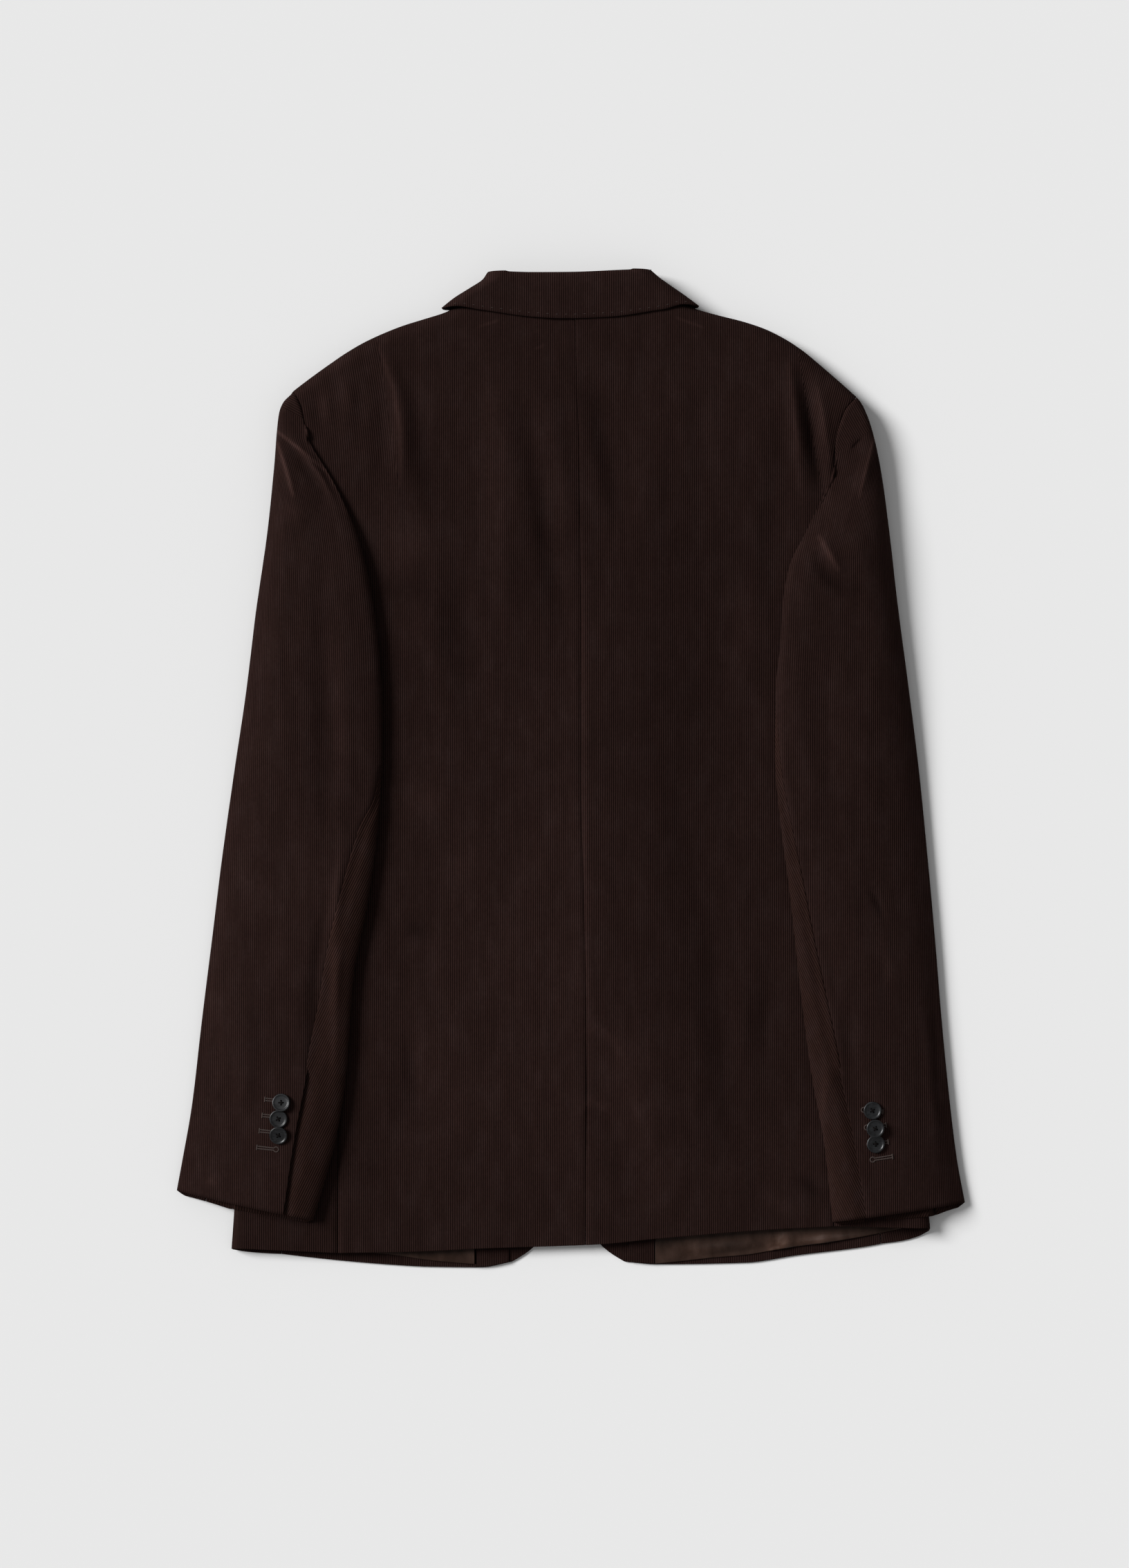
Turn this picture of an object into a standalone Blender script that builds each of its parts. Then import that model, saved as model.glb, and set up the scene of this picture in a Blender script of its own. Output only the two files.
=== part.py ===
"""A man's corduroy jacket, laid face down with its back up and both sleeves turned over the back.

+X is to the right, +Y runs from the hem to the collar and +Z is up from the surface that the fronts lie
on. Sizes are in millimetres until a mesh is made, and every piece that a tailor cuts is one closed wall
of cloth. Tables have named columns; between their rows a monotone cubic keeps the line fair.
"""

import math

import bmesh
import bpy
import numpy as np

MM = 0.001

WALL = 1.6  # corduroy and its interlining
THIN_WALL = 1.0  # facing and satin lining
LAPEL_WALL = 2.1
SEAM_GAP = 0.3
LAYER_GAP = 0.4  # between a piece and the one that it lies on

CUFF_BUTTON = 15.0  # 24 ligne
FRONT_BUTTON = 20.0  # 32 ligne

CORDUROY = (0.021, 0.0105, 0.009)
SATIN = (0.085, 0.05, 0.04)
HORN = (0.03, 0.03, 0.034)


def table(names, *rows):
    """Named columns of millimetres from rows."""
    return dict(zip(names.split(), np.array(rows, float).T))


# ---- Fair curves -------------------------------------------------------------------------------------


def fair(stations, values, at):
    """Monotone cubic through a table's rows, held level beyond its ends."""
    x = np.asarray(stations, float)
    y = np.asarray(values, float)
    step = np.diff(x)
    slope = np.diff(y) / step
    tangent = np.empty_like(y)
    tangent[0] = slope[0]
    tangent[-1] = slope[-1]
    before = 2 * step[1:] + step[:-1]
    after = step[1:] + 2 * step[:-1]
    same_way = slope[:-1] * slope[1:] > 0
    blend = before / np.where(same_way, slope[:-1], 1) + after / np.where(same_way, slope[1:], 1)
    tangent[1:-1] = np.where(same_way, (before + after) / np.where(same_way, blend, 1), 0)
    at = np.clip(np.asarray(at, float), x[0], x[-1])
    k = np.clip(np.searchsorted(x, at, side="right") - 1, 0, len(x) - 2)
    t = (at - x[k]) / step[k]
    rise = step[k] * (tangent[k] * t * (1 - t) ** 2 - tangent[k + 1] * t**2 * (1 - t))
    return y[k] + (y[k + 1] - y[k]) * t * t * (3 - 2 * t) + rise


def along(points, shares):
    """Points at shares of the length of a fair line through the given points."""
    points = np.asarray(points, float)
    length = np.r_[0, np.cumsum(np.linalg.norm(np.diff(points, axis=0), axis=1))]
    at = np.asarray(shares) * length[-1]
    return np.stack([fair(length, column, at) for column in points.T], axis=-1)


def ease(t):
    """0 to 1 with level ends."""
    t = np.clip(t, 0, 1)
    return t * t * (3 - 2 * t)


def mix(a, b, t):
    return a + (b - a) * t


def distance_to(line, x, y):
    """Distance from points to a line of straight runs, and the share of its length where each is nearest."""
    line = np.asarray(line, float)
    runs = np.diff(line, axis=0)
    lengths = np.linalg.norm(runs, axis=1)
    passed = np.r_[0, np.cumsum(lengths)]
    best = np.full(np.shape(x), np.inf)
    share = np.zeros(np.shape(x))
    for start, run, length, before in zip(line, runs, lengths, passed):
        t = ((x - start[0]) * run[0] + (y - start[1]) * run[1]) / length**2
        t = np.clip(t, 0, 1)
        away = np.hypot(x - start[0] - t * run[0], y - start[1] - t * run[1])
        nearer = away < best
        best = np.where(nearer, away, best)
        share = np.where(nearer, (before + t * length) / passed[-1], share)
    return best, share


# ---- Measures of this jacket -------------------------------------------------------------------------

# Height of the back above the surface, with fronts, chest and shoulder pads under it.
BACK_RISE = table(
    "y height",
    (-405, 10.0),
    (-300, 10.6),
    (-100, 12.0),
    (100, 15.0),
    (250, 19.0),
    (330, 21.5),
    (420, 22.0),
)
HEM_LIFT = 5.0  # the right corner of the hem stands up
HEM_LIFT_AT = (300, -385)
HEM_LIFT_REACH = (70, 60)

# Folds pressed into the back by the turned sleeves: height, half width, then the line that each follows.
BACK_FOLDS = (
    (-5.0, 8, ((188, 335), (192, 305), (196, 272), (201, 248), (207, 222))),
    (2.6, 8, ((204, 318), (208, 299), (212, 262), (214, 236))),
    (2.4, 11, ((-149, 345), (-141, 306), (-139, 270), (-141, 225))),
    (-2.0, 12, ((-166, 330), (-162, 296), (-160, 262), (-161, 235))),
    (1.6, 15, ((-60, 330), (-56, 250), (-52, 150), (-40, 60))),
    (-1.5, 14, ((60, 300), (56, 220), (52, 120), (46, 30))),
)

CENTRE_SEAM = table(
    "y x",
    (-397, 12.5),
    (-222, 12.9),
    (-118, 11.2),
    (-8, 8.5),
    (124, 8.3),
    (272, 6.6),
    (324, 4.9),
    (387, 3.7),
)
BACK_HEM = table(
    "x y",
    (-284, -398.9),
    (-220, -402.7),
    (-153, -402.3),
    (-68, -398.8),
    (24, -395.5),
    (77, -390.4),
    (188, -382.1),
    (282, -378.9),
    (302, -381.6),
)
NECK_DIP = 387.0  # where the back neckline crosses the centre seam

# Body side edges, which the sleeves hide, and the seams either side of them.
BODY = table(
    "y left_edge left_seam right_edge right_seam",
    (-405, -283.5, -194, 301.8, 219),
    (-194, -268, -194, 282, 221),
    (-60, -254, -199, 267, 222),
    (60, -250, -208, 261, 226),
    (125, -250, -216, 260, 230),
    (160, -250, -222, 260, 234),
)
SIDE_ROUND = 9.0  # the side panel turns under within this width
UNDER_REACH = table("y reach", (-405, 42.0), (-100, 36.0), (140, 19.0))  # side edge to front seam, underneath
SEAM_TOP = 160.0  # the back and side seam meets the armhole here
ARMPIT = 125.0
UNDERARM_FRONT = 140.0  # the side and front seam meets the armhole here

# Outer and folded inner edges of the sleeves from above.
SLEEVE_EDGE = table(
    "y left right",
    (-361, -330.5, 328.8),
    (-326, -324.0, 322.3),
    (-280, -316.0, 316.5),
    (-211, -307.9, 309.6),
    (-142, -299.3, 303.9),
    (-73, -290.7, 297.6),
    (-4, -280.9, 290.7),
    (65, -270.5, 282.0),
    (134, -261.9, 272.8),
    (203, -252.1, 264.8),
    (249, -247.5, 258.5),
    (286, -244.7, 249.8),
    (300, -242.4, 244.7),
    (306.5, -239.5, 241.8),
    (316, -231.0, 232.0),
)
SLEEVE_FOLD = table(
    "y left right",
    (-376, -214.4, 217.2),
    (-348, -206.0, 214.6),
    (-308, -195.2, 210.0),
    (-255, -186.6, 200.1),
    (-178, -180.8, 190.0),
    (-100, -166.8, 181.4),
    (-50, -160.4, 174.7),
    (14, -156.5, 169.3),
    (65, -156.9, 169.9),
    (105, -159.6, 173.8),
    (141, -164.6, 176.1),
    (169, -169.7, 181.4),
    (197, -177.8, 195.0),
    (221, -188.0, 206.1),
    (250, -203.6, 219.0),
    (275, -220.2, 230.0),
)
# How far the hindarm seam stands in from the folded edge; below zero it has passed under the fold.
HINDARM = table(
    "y left right",
    (-376, 24.5, 28.0),
    (-302, 33.0, 23.8),
    (-252, 31.5, 23.0),
    (-183, 24.0, 18.0),
    (-128, 22.5, 13.0),
    (-54, 14.0, 8.0),
    (-28, 4.5, 6.0),
    (0, 0.5, 4.0),
    (50, -4.0, 0.5),
    (100, -8.0, -4.0),
    (150, -9.0, -8.0),
    (194, -7.0, -5.0),
    (232, -3.5, -1.0),
    (244, -2.0, 0.0),
    (265, 0.0, 0.0),
)
SLEEVE_THICK = 12.0
SLEEVE_CLEAR = 1.1  # between the back and the sleeve that lies on it
SLEEVE_EDGE_MID = table("y height", (-361, 5.0), (-50, 6.0), (90, 8.5), (200, 9.5), (316, 10.7))

SLEEVE_FOLDS = {
    "left": (
        (2.2, 7, ((-246, 284), (-230, 270), (-215, 256), (-200, 236), (-186, 212))),
        (1.6, 6, ((-244, 270), (-236, 250), (-227, 234))),
        (-1.8, 7, ((-240, 262), (-224, 246), (-210, 226))),
        (1.4, 14, ((-250, 120), (-236, 40), (-246, -60))),
        (-1.2, 9, ((-196, -160), (-206, -178), (-222, -190))),
    ),
    "right": (
        (2.0, 7, ((252, 277), (247, 260), (242, 243), (236, 222))),
        (-2.2, 6, ((238, 274), (229, 262), (222, 250))),
        (-2.2, 9, ((207, 192), (214, 176), (222, 158))),
        (1.3, 14, ((252, 100), (246, 20), (256, -70))),
        (-1.6, 7, ((302, -222), (303, -262), (309, -315))),
        (-1.2, 6, ((249, -100), (255, -112), (261, -125))),
    ),
}

# Armhole seams from the shoulder point down, on the back and on the front.
ARMHOLE_BACK = {
    "left": ((-231, 315), (-224, 301), (-220.2, 275), (-215, 238), (-214, 200), (-222, 160)),
    "right": ((238, 310), (227, 297), (219.5, 268), (218, 236), (221, 200), (234, 160)),
}
ARMHOLE_FRONT = {
    "left": ((-231, 315), (-229, 290), (-226, 250), (-224, 210), (-226, 175), (-231, UNDERARM_FRONT)),
    "right": ((238, 310), (236, 290), (234, 250), (233, 210), (235, 175), (241, UNDERARM_FRONT)),
}
FOLD_START = {"left": (-220.2, 275.0), "right": (218.8, 253.0)}

SHOULDER = {
    "left": ((-88, 388), (-103, 381), (-142, 368.6), (-173, 355), (-205.6, 334), (-224.5, 320), (-231, 315)),
    "right": ((88, 389.5), (105, 383), (157, 368.6), (184, 355), (210.7, 334), (226.8, 320), (238, 310)),
}
SHOULDER_ROUND = 10.0

CUFF = {
    "left": {"outer": -351.0, "fold": -374.3},
    "right": {"outer": -361.0, "fold": -375.6},
}

CUFF_BUTTONS = {  # X, Y, height of the disc over the cloth, tilt about X in degrees
    "left": ((-239.7, -276.2, 2.0, -10.0), (-242.1, -289.6, 0.4, 0.0), (-242.0, -302.9, 2.0, 10.0)),
    "right": ((249.8, -282.7, 0.4, 0.0), (251.9, -297.3, 3.1, 0.0), (252.5, -310.3, 0.4, 0.0)),
}
BUTTON_THICK = 2.5

# Fronts, measured from the centre front line: the quarter, the edge and the roll of the lapel.
CENTRE_FRONT = -2.0
FRONT_EDGE = table(
    "y away",
    (-411, 47.0),
    (-404, 35.5),
    (-397, 27.0),
    (-383, 19.0),
    (-360, 11.5),
    (-320, 5.0),
    (-260, 2.2),
    (-75, 2.0),
    (60, 20.0),
    (250, 46.0),
    (345, 60.0),
    (372, 71.0),
    (391, 87.0),
)
TURNBACK = table(  # outer edge of the buttons, lapel and collar that lie under the fronts
    "y away",
    (-265, -24.0),
    (-205, 30.0),
    (-62, 34.0),
    (0, 54.0),
    (80, 82.0),
    (180, 104.0),
    (300, 121.0),
    (322, 123.0),
    (384, 112.0),
)
LAPEL_EDGE = table("y away", (-62, 9.0), (0, 47.0), (80, 77.0), (180, 99.0), (300, 116.0), (322, 118.0))
TURNBACK_RISE = 2.8
TURNBACK_SLOPE = 20.0
LAPEL_START = -62.0
GORGE_INNER = 343.0
GORGE_OUTER = 322.0
FRONT_HEM = {
    "left": ((-49, -411), (-74.5, -415.7), (-118, -415.2), (-153, -413.3), (-220, -407.1), (-241.5, -404.5)),
    "right": ((45, -411), (71, -413.2), (146, -411.9), (188, -405.8), (244, -398.8), (259.8, -396.0)),
}
SIDE_HEM = {  # Y of the side panel's hem at the back seam, round the side and at the front seam
    "left": (-402.8, -399.4, -404.5),
    "right": (-380.2, -381.6, -396.0),
}
FRONT_BUTTONS = ((15.0, -82.0), (15.0, -182.0))  # away from the centre front, Y

FACING_SHARE = 0.17  # of the front's width at the hem
LINING_RISE = {
    "left": table("share height", (0.17, 4.2), (0.36, 6.7), (0.56, 9.6), (0.95, 8.0)),
    "right": table("share height", (0.12, 1.2), (0.4, 7.0), (0.6, 8.0), (0.95, 7.0)),
}

OUT = {"left": -1.0, "right": 1.0}


# ---- Heights -----------------------------------------------------------------------------------------


def folds_at(folds, x, y):
    """Sum of soft ridges and troughs, each fading towards both of its ends."""
    total = np.zeros(np.shape(x))
    for height, half_width, line in folds:
        away, share = distance_to(line, x, y)
        fade = np.sin(np.pi * np.clip(share, 0.04, 0.96))
        total = total + height * fade * np.exp(-((away / half_width) ** 2))
    return total


def back_height(x, y, folded=True):
    """Outer face of the back over the surface, before its edges turn down."""
    lift_x = (x - HEM_LIFT_AT[0]) / HEM_LIFT_REACH[0]
    lift_y = (y - HEM_LIFT_AT[1]) / HEM_LIFT_REACH[1]
    height = fair(BACK_RISE["y"], BACK_RISE["height"], y)
    height = height + HEM_LIFT * np.exp(-(lift_x**2) - lift_y**2)
    if folded:
        height = height + folds_at(BACK_FOLDS, x, y)
    return height


def turned(away, reach):
    """Share of the half height that a turned edge has lost at this distance from it."""
    return 1 - np.sqrt(np.clip(1 - (1 - np.clip(away / reach, 0, 1)) ** 2, 0, 1))


def front_height(x, y):
    """Outer face of a front, which lapel, collar and buttons hold off the surface."""
    beyond = np.abs(x - CENTRE_FRONT) - fair(TURNBACK["y"], TURNBACK["away"], y)
    return TURNBACK_RISE * (1 - ease(beyond / TURNBACK_SLOPE))


# ---- Panels as grids of points -----------------------------------------------------------------------


def patch(bottom, top, inner, outer):
    """A four-sided patch filled between its edges; bottom and top run from inner to outer."""
    u = edge_shares(0.5 * (bottom + top))[None, :, None]
    v = edge_shares(0.5 * (inner + outer))[:, None, None]
    across = mix(inner[:, None], outer[:, None], u)
    up = mix(bottom[None], top[None], v)
    corners = mix(mix(bottom[0], bottom[-1], u), mix(top[0], top[-1], u), v)
    return across + up - corners


def edge_shares(points):
    length = np.r_[0, np.cumsum(np.linalg.norm(np.diff(points, axis=0), axis=1))]
    return length / length[-1]


def normals_of(grid):
    """Unit normals of a grid of points, facing the way that rows cross columns."""
    down = np.gradient(grid, axis=0)
    across = np.gradient(grid, axis=1)
    normal = np.cross(across, down)
    return normal / np.linalg.norm(normal, axis=-1, keepdims=True)


def with_z(flat, z):
    return np.concatenate([flat, np.asarray(z)[..., None]], axis=-1)


def part_seams(grid, first_row=0.0, last_row=0.0, first_column=0.0, last_column=0.0):
    """Draws the named edges of a grid back by a distance, so that neighbours don't touch."""
    grid = grid.copy()
    for distance, edge, inner in (
        (first_row, (0, slice(None)), (1, slice(None))),
        (last_row, (-1, slice(None)), (-2, slice(None))),
        (first_column, (slice(None), 0), (slice(None), 1)),
        (last_column, (slice(None), -1), (slice(None), -2)),
    ):
        if distance:
            towards = grid[inner] - grid[edge]
            towards = towards / np.linalg.norm(towards, axis=-1, keepdims=True)
            grid[edge] += towards * distance
    return grid


SEAM_ROWS = np.linspace(0, 1, 13)
ARMHOLE_ROWS = np.array([0.14, 0.28, 0.42, 0.56, 0.7, 0.82, 0.91, 0.97])
TURN_ROWS = 1 - 0.055 * (1 - np.sin(np.radians((0, 30, 55, 75, 90))))
UPPER_ROWS = np.r_[ARMHOLE_ROWS[ARMHOLE_ROWS < TURN_ROWS[0] - 0.02], TURN_ROWS]


def side_rows(side, where):
    """Points up the back seam or the front seam of a side panel, shared by both of its neighbours."""
    if where == "back":
        y = mix(SIDE_HEM[side][0], SEAM_TOP, SEAM_ROWS)
        return np.stack([fair(BODY["y"], BODY[side + "_seam"], y), y], axis=-1)
    y = mix(SIDE_HEM[side][2], UNDERARM_FRONT, SEAM_ROWS)
    return np.stack([front_seam_x(side, y), y], axis=-1)


def front_seam_x(side, y):
    """Where the side panel meets the front, on the underside."""
    edge = fair(BODY["y"], BODY[side + "_edge"], y)
    return edge - OUT[side] * fair(UNDER_REACH["y"], UNDER_REACH["reach"], y)


def back_grid(side):
    """Outer face of one back panel, from the centre seam out and from the hem up."""
    armhole = along(ARMHOLE_BACK[side][::-1], UPPER_ROWS)
    outer = np.concatenate([side_rows(side, "back"), armhole])
    low = mix(fair(BACK_HEM["x"], BACK_HEM["y"], 12.0), SEAM_TOP, SEAM_ROWS)
    centre_y = np.r_[low, mix(SEAM_TOP, NECK_DIP, UPPER_ROWS)]
    inner = np.stack([fair(CENTRE_SEAM["y"], CENTRE_SEAM["x"], centre_y), centre_y], axis=-1)
    neck = SHOULDER[side][0]
    neckline = along(((inner[-1, 0], NECK_DIP), (neck[0] * 0.55, NECK_DIP + 0.6), neck), np.linspace(0, 1, 6))
    top = np.concatenate([neckline, along(SHOULDER[side], np.linspace(0, 1, 10)[1:])])
    across = edge_shares(top)
    hem_x = mix(inner[0, 0], outer[0, 0], across)
    bottom = np.stack([hem_x, fair(BACK_HEM["x"], BACK_HEM["y"], hem_x)], axis=-1)
    bottom[0] = inner[0]
    bottom[-1] = outer[0]
    flat = patch(bottom, top, inner, outer)
    x = flat[..., 0]
    y = flat[..., 1]
    height = back_height(x, y)
    away, _ = distance_to(SHOULDER[side], x, y)
    past_neck = ease((np.abs(x) - abs(neck[0]) + 8) / 8)
    return with_z(flat, height * (1 - 0.5 * turned(away, SHOULDER_ROUND) * past_neck))


def side_grid(side):
    """Outer face of one side panel: over the top, round the side edge and under to the front seam."""
    out = OUT[side]
    over = np.linspace(0, 1, 4)
    turn = 1 + np.linspace(0, 1, 8)[1:]
    under = 2 + np.linspace(0, 1, 3)[1:]
    q = np.r_[over, turn, under][None, :]
    hem = np.interp(q, (0, 1, 2, 3), np.array(SIDE_HEM[side])[[0, 1, 1, 2]])
    top = np.interp(q, (0, 1, 1.3, 1.8, 2.2, 3), (SEAM_TOP, ARMPIT + 4, *([ARMPIT - 4] * 3), UNDERARM_FRONT))
    y = mix(hem, top, SEAM_ROWS[:, None])
    edge = fair(BODY["y"], BODY[side + "_edge"], y)
    seam = fair(BODY["y"], BODY[side + "_seam"], y)
    start = edge - out * SIDE_ROUND
    angle = np.clip(q - 1, 0, 1) * np.pi
    x_over = mix(seam, start, q)
    x_under = mix(start, front_seam_x(side, y), q - 2)
    x = np.where(q <= 1, x_over, np.where(q <= 2, start + out * SIDE_ROUND * np.sin(angle), x_under))
    height = back_height(np.where(q <= 1, x, start), y)
    z = np.where(q <= 1, height, np.where(q <= 2, height * 0.5 * (1 + np.cos(angle)), 0))
    return np.stack([x, y, z], axis=-1)


def front_edge_points(side, count):
    """The front's inner edge: round the quarter, up the centre front and along the roll."""
    rows = FRONT_EDGE["y"], FRONT_EDGE["away"]
    y = np.r_[rows[0][0], -404, -395, np.linspace(-380, 391, count - 3)]
    x = CENTRE_FRONT + OUT[side] * fair(*rows, y)
    return np.stack([x, y], axis=-1)


def front_grid(side):
    """Outer face of one front, which lies down on the surface."""
    armhole = along(ARMHOLE_FRONT[side][::-1], UPPER_ROWS)
    outer = np.concatenate([side_rows(side, "front"), armhole])
    guide = front_edge_points(side, 24)
    rows = edge_shares(outer)
    inner = along(guide, rows)
    inner[0] = FRONT_HEM[side][0]
    inner[-1] = SHOULDER[side][0]
    columns = np.linspace(0, 1, 12)
    bottom = along(FRONT_HEM[side], columns)
    bottom[-1] = outer[0]
    top = along(SHOULDER[side], columns)
    flat = patch(bottom, top, inner, outer)
    x = flat[..., 0]
    y = flat[..., 1]
    away, _ = distance_to(SHOULDER[side], x, y)
    lost = turned(away, SHOULDER_ROUND)
    return with_z(flat, mix(front_height(x, y), 0.5 * back_height(x, y), lost))


def lapel_grid(side):
    """A lapel turned back under its front, from the roll out and from the first button up."""
    rows = np.linspace(0, 1, 13)
    inner_y = mix(LAPEL_START, GORGE_INNER, rows)
    outer_y = mix(LAPEL_START, GORGE_OUTER, rows)
    inner = fair(FRONT_EDGE["y"], FRONT_EDGE["away"], inner_y) + 0.5
    outer = fair(LAPEL_EDGE["y"], LAPEL_EDGE["away"], outer_y)
    columns = np.linspace(0, 1, 5)[None, :]
    away = mix(inner[:, None], outer[:, None], columns)
    y = mix(inner_y[:, None], outer_y[:, None], columns)
    return np.stack([CENTRE_FRONT + OUT[side] * away, y, np.zeros_like(y)], axis=-1)


# ---- Sleeves -----------------------------------------------------------------------------------------

SLEEVE_ROWS = np.r_[np.linspace(0, 0.78, 15), 0.83, 0.875, 0.91, 0.94, 0.965, 0.985, 1.0]
UNDERARM_TRAVEL = table("share travel", (0, 0), (0.5, 0.66), (0.7, 0.86), (0.85, 0.95), (1, 1))
RING_POINTS = 240
HEAD_BOW = ((0.83, 0.94, 1.0), (1.0, 1.8, 1.8))  # rows near the armhole drop first, then run to the fold
HEAD_SHARE = 0.2  # the sleeve sinks to the armhole over this share of its length
FOLD_STANDS = ((0.9, 0.94, 0.965, 0.985, 1.0), (0.0, 0.8, 1.0, 0.4, 0.0))  # where the fold starts, by share
UNDERARM_FAN = ((0.83, 0.875, 0.91, 0.94, 0.965, 0.985, 1.0), (1.0, 0.85, 0.68, 0.5, 0.32, 0.16, 0.0))
UNDERSLEEVE_TOP = 0.83  # above this the topsleeve alone is made, and it reaches further under the arm
HEAD_DRAW = ((0.94, 0.965, 0.985, 1.0), (0.0, 0.08, 0.3, 1.0))  # and is drawn onto the seam over less


def closed_curve(keys, count):
    """A smooth closed line through the key points, with the share of each key point along it."""
    ring = np.concatenate([keys[-3:], keys, keys[:4]])
    chord = np.linalg.norm(np.diff(ring, axis=0), axis=1) ** 0.5
    knots = np.r_[0, np.cumsum(chord)]
    first = 3
    last = first + len(keys)
    tangent = np.zeros_like(ring)
    for i in range(1, len(ring) - 1):
        before = knots[i] - knots[i - 1]
        after = knots[i + 1] - knots[i]
        rise_before = (ring[i] - ring[i - 1]) / before
        rise_after = (ring[i + 1] - ring[i]) / after
        tangent[i] = (rise_before * after + rise_after * before) / (before + after)
    at = np.linspace(knots[first], knots[last], count, endpoint=False)
    k = np.clip(np.searchsorted(knots, at, side="right") - 1, first, last - 1)
    step = (knots[k + 1] - knots[k])[:, None]
    t = (at[:, None] - knots[k][:, None]) / step
    curve = ring[k] * (1 + 2 * t) * (1 - t) ** 2 + ring[k + 1] * t * t * (3 - 2 * t)
    curve = curve + step * (tangent[k] * t * (1 - t) ** 2 - tangent[k + 1] * t * t * (1 - t))
    shares = (knots[first:last] - knots[first]) / (knots[last] - knots[first])
    return curve, shares


def armhole_inside(side, y):
    """How far in the sleeve's underside may reach: the body's side edge, then the front's armhole."""
    out = OUT[side]
    edge = fair(BODY["y"], BODY[side + "_edge"], y) + out * 2.0
    line = np.array(ARMHOLE_FRONT[side], float)[::-1]
    front = np.interp(y, line[:, 1], line[:, 0]) + out
    return mix(edge, front, np.clip((y - ARMPIT + 3) / (UNDERARM_FRONT - ARMPIT + 3), 0, 1))


def sleeve_section(side, share):
    """Key points of the flattened sleeve at one share of its length, from its outer edge over the top."""
    out = OUT[side]
    travel = fair(UNDERARM_TRAVEL["share"], UNDERARM_TRAVEL["travel"], share)
    y_edge = mix(CUFF[side]["outer"], SHOULDER[side][-1][1], share)
    y_fold = mix(CUFF[side]["fold"], FOLD_START[side][1], share)
    y_under = mix(0.5 * (CUFF[side]["outer"] + CUFF[side]["fold"]), ARMPIT, travel)
    x_edge = fair(SLEEVE_EDGE["y"], SLEEVE_EDGE[side], y_edge)
    x_fold = fair(SLEEVE_FOLD["y"], SLEEVE_FOLD[side], y_fold)
    x_body = fair(BODY["y"], BODY[side + "_edge"], y_under)
    mid = fair(SLEEVE_EDGE_MID["y"], SLEEVE_EDGE_MID["height"], y_edge)
    base_fold = back_height(x_fold, y_fold, folded=False) + SLEEVE_CLEAR
    base_body = back_height(x_body, y_under, folded=False)
    top_fold = base_fold + SLEEVE_THICK

    # 1 where little of the sleeve lies outside the body
    beside = np.clip((0.3 - (x_body - x_edge) / (x_fold - x_edge)) / 0.17, 0, 1)

    def over(across, height):
        down = 1 - (1 - across) ** fair(*HEAD_BOW, share)
        return (mix(x_edge, x_fold, across), mix(y_edge, y_fold, down), height)

    def below(across, height):
        return (mix(x_fold, x_body, across), mix(y_fold, y_under, across), height)

    def beneath(across, height):
        y = mix(y_under, y_edge, across)
        outer = fair(SLEEVE_EDGE["y"], SLEEVE_EDGE[side], y)
        reach = mix(across**6, across**1.1, fair(*UNDERARM_FAN, share))
        return (mix(armhole_inside(side, y), outer, reach), y, height)

    return np.array(
        (
            over(0.0, mid),
            over(0.045, mid * 1.75),
            over(0.16, mix(2 * mid, top_fold, mix(0.3, 0.62, beside))),
            over(0.36, mix(2 * mid, top_fold, mix(0.72, 0.95, beside))),
            over(0.64, top_fold + 1.0),
            over(0.87, top_fold + 0.4),
            over(0.965, top_fold - 2.2),
            over(1.0, base_fold + 0.5 * SLEEVE_THICK),
            over(0.965, base_fold + 1.4),
            below(0.16, base_fold + 0.1),
            below(0.5, mix(base_fold, base_body + SLEEVE_CLEAR, 0.5)),
            below(0.86, base_body + SLEEVE_CLEAR + 0.3),
            below(0.99, base_body + SLEEVE_CLEAR - 0.2),
            (x_body + out * 3.2, y_under, 0.66 * base_body),
            beneath(0.5, mix(0.3 * base_body, 0.3, ease((share - 0.75) / 0.2))),
            beneath(0.86, 0.6),
        )
    )


EDGE_KEY = 0
TOP_KEY = 5
FOLD_KEY = 7
CORNER_KEY = 12
BODY_KEY = 13
FOREARM_KEY = 14


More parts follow.
